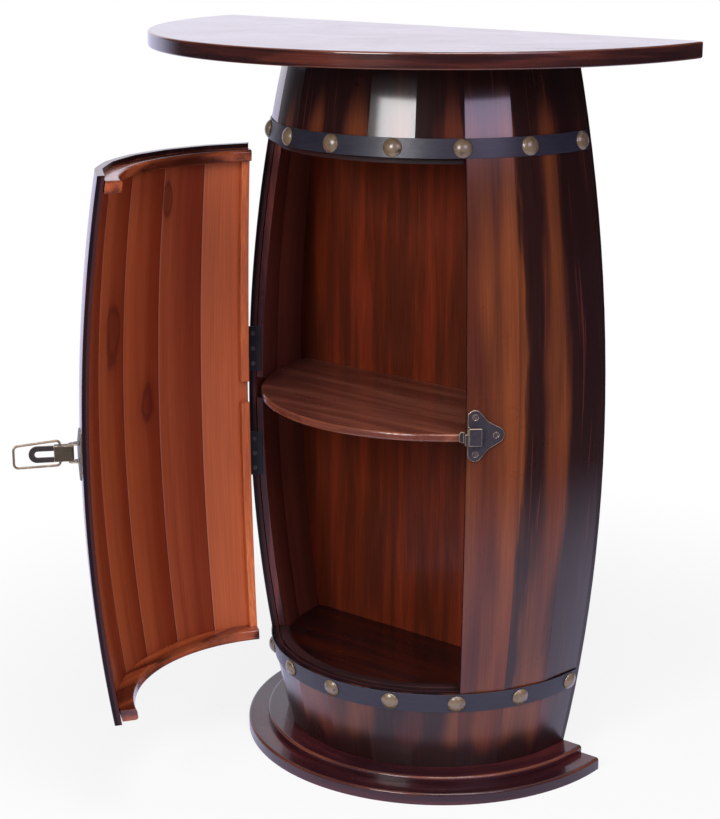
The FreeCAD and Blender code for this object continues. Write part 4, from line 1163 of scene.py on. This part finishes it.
def floor_material():
    """Pale matt floor that fades into the background; mirrors see it dark, except behind the barrel."""
    made, tree, shader = blank_material("pale floor")
    join_all(tree, {"Base Color": (0.86, 0.86, 0.88, 1.0), "Roughness": 0.9,
                    "Specular IOR Level": 0.0}, shader)
    _, seen, glossy = ray_masks(tree)
    place = object_place(tree)
    away = flow(tree, "ShaderNodeVectorMath", {0: place}, "Value", operation="LENGTH")
    far = away.ramp(0.35, 1.0, 0.84, 1.0) * seen
    aim = flow(tree, "ShaderNodeVectorMath", {0: place}, operation="NORMALIZE")
    in_front = dot(tree, aim, (*BEHIND, 0.0)).ramp(0.6, 0.85, 1.0, 0.0)
    mirrored = away.ramp(0.5, 1.3, 0.0, -0.95) * in_front * glossy + 1.0
    tint = mixed(tree, glossy, (1.0, 1.0, 1.0, 1.0), (0.8, 0.78, 1.06, 1.0))
    glow = flow(tree, "ShaderNodeEmission", {"Color": tint, "Strength": mirrored})
    blended(tree, far.math("MAXIMUM", glossy), Flow(tree, shader.outputs[0]), glow, "Material Output")
    return made


def studio_world(ambient):
    """Even light, with a white background that glossy surfaces see behind and to the left."""
    world = bpy.data.worlds.new("studio")
    world.use_nodes = True
    tree = world.node_tree
    camera, seen, glossy = ray_masks(tree)
    direction = flow(tree, "ShaderNodeTexCoord", output="Generated")
    white_side = dot(tree, direction, (*BEHIND, 0.08)).ramp(0.78, 0.9, 0.02, 1.0)
    ceiling = direction.parts()[2].ramp(0.5, 0.8, 0.0, 0.55)
    level = ((white_side + ceiling) * glossy + camera).math("MINIMUM", 1.0)
    soft = flow(tree, "ShaderNodeBackground", {"Color": (0.95, 0.96, 1.0, 1.0), "Strength": ambient})
    tint = mixed(tree, camera, (0.92, 0.88, 1.0, 1.0), (1.0, 1.0, 1.0, 1.0))
    shown = flow(tree, "ShaderNodeBackground", {"Color": tint, "Strength": level})
    blended(tree, seen, soft, shown, "World Output")
    return world


def pale_floor(radius):
    """A flat disc under the plinth."""
    turns = [math.radians(step) for step in range(0, 360, FLOOR_STEP)]
    ring = [(math.cos(turn) * radius, math.sin(turn) * radius, -FLOOR_DROP) for turn in turns]
    mesh = bpy.data.meshes.new("floor")
    mesh.from_pydata(ring, [], [list(range(len(ring)))])
    mesh.materials.append(floor_material())
    floor = bpy.data.objects.new("floor", mesh)
    bpy.context.scene.collection.objects.link(floor)
    return floor


def softbox(name, turn, lift, distance, wide, tall, power, tint):
    """A soft lamp at an angle from the front and a height above the horizon, aimed at the barrel."""
    lamp = bpy.data.lights.new(name, "AREA")
    lamp.shape = "RECTANGLE"
    lamp.size, lamp.size_y = wide, tall
    lamp.energy = power
    lamp.color = tint
    made = bpy.data.objects.new(name, lamp)
    turn, lift = math.radians(turn), math.radians(lift)
    outward = Vector((math.sin(turn) * math.cos(lift), -math.cos(turn) * math.cos(lift), math.sin(lift)))
    made.location = Vector((0, 0, AIM_HEIGHT)) + outward * distance
    made.rotation_euler = outward.to_track_quat("Z", "Y").to_euler()
    bpy.context.scene.collection.objects.link(made)


def studio_camera(studio):
    """The camera, turned about the vertical, dipped and leaned."""
    camera = bpy.data.objects.new("camera", bpy.data.cameras.new("camera"))
    camera.data.lens = studio.lens
    camera.data.sensor_width = SENSOR_WIDTH
    turn = Matrix.Rotation(studio.camera_turn, 4, "Z")
    dip = Matrix.Rotation(math.radians(90) - studio.camera_dip, 4, "X")
    roll = Matrix.Rotation(studio.camera_roll, 4, "Z")
    camera.matrix_world = Matrix.Translation(Vector(studio.camera_place)) @ turn @ dip @ roll
    bpy.context.scene.collection.objects.link(camera)
    return camera


class BARREL_OT_stage(bpy.types.Operator):
    """Set up the floor, the lights and the camera"""
    bl_idname = "barrel.stage"
    bl_label = "Stage"

    def execute(self, context):
        scene, studio = context.scene, context.scene.studio
        floor = pale_floor(studio.floor_radius)
        scene.world = studio_world(studio.ambient)
        softbox("front_softbox", turn=9.0, lift=17.0, distance=2.2, wide=0.70, tall=0.75,
                power=studio.key_power, tint=(1.0, 0.98, 1.0))
        softbox("right_softbox", turn=66.0, lift=21.5, distance=2.2, wide=0.85, tall=0.8,
                power=studio.side_power, tint=(0.79, 0.67, 1.0))
        softbox("high_softbox", turn=50.0, lift=56.0, distance=2.6, wide=1.2, tall=1.2,
                power=studio.fill_power, tint=(1.0, 0.99, 1.0))
        scene.camera = studio_camera(studio)
        scene.view_settings.view_transform = "Standard"
        return {"FINISHED"}


OPERATORS = (BARREL_OT_fixed_staves, BARREL_OT_door_staves, BARREL_OT_nails, BARREL_OT_screws,
             BARREL_OT_boards, BARREL_OT_metal, BARREL_OT_stage)
GROUPS = {"barrel_sizes": BarrelSizes, "fitting_sizes": FittingSizes, "finish_colours": FinishColours,
          "studio": Studio}


class BARREL_PT_panel(bpy.types.Panel):
    """The barrel's sizes, colours and pieces"""
    bl_label = "Barrel bar cabinet"
    bl_space_type = "VIEW_3D"
    bl_region_type = "UI"
    bl_category = "Barrel"

    def draw(self, context):
        for operator in OPERATORS:
            self.layout.operator(operator.bl_idname)
        for name in GROUPS:
            group = getattr(context.scene, name)
            box = self.layout.box()
            box.label(text=name.replace("_", " ").capitalize())
            for key in group.__annotations__:
                box.prop(group, key)


def register():
    for name, group in GROUPS.items():
        bpy.utils.register_class(group)
        setattr(bpy.types.Scene, name, PointerProperty(type=group))
    for kind in OPERATORS + (BARREL_PT_panel,):
        bpy.utils.register_class(kind)


def unregister():
    for kind in (BARREL_PT_panel,) + OPERATORS:
        bpy.utils.unregister_class(kind)
    for name, group in GROUPS.items():
        delattr(bpy.types.Scene, name)
        bpy.utils.unregister_class(group)


def main():
    register()
    bpy.ops.barrel.stage()
    bpy.ops.barrel.fixed_staves()
    bpy.ops.barrel.door_staves()
    bpy.ops.barrel.nails()
    bpy.ops.barrel.screws()
    bpy.ops.barrel.boards()
    bpy.ops.barrel.metal()


if __name__ == "__main__":
    main()
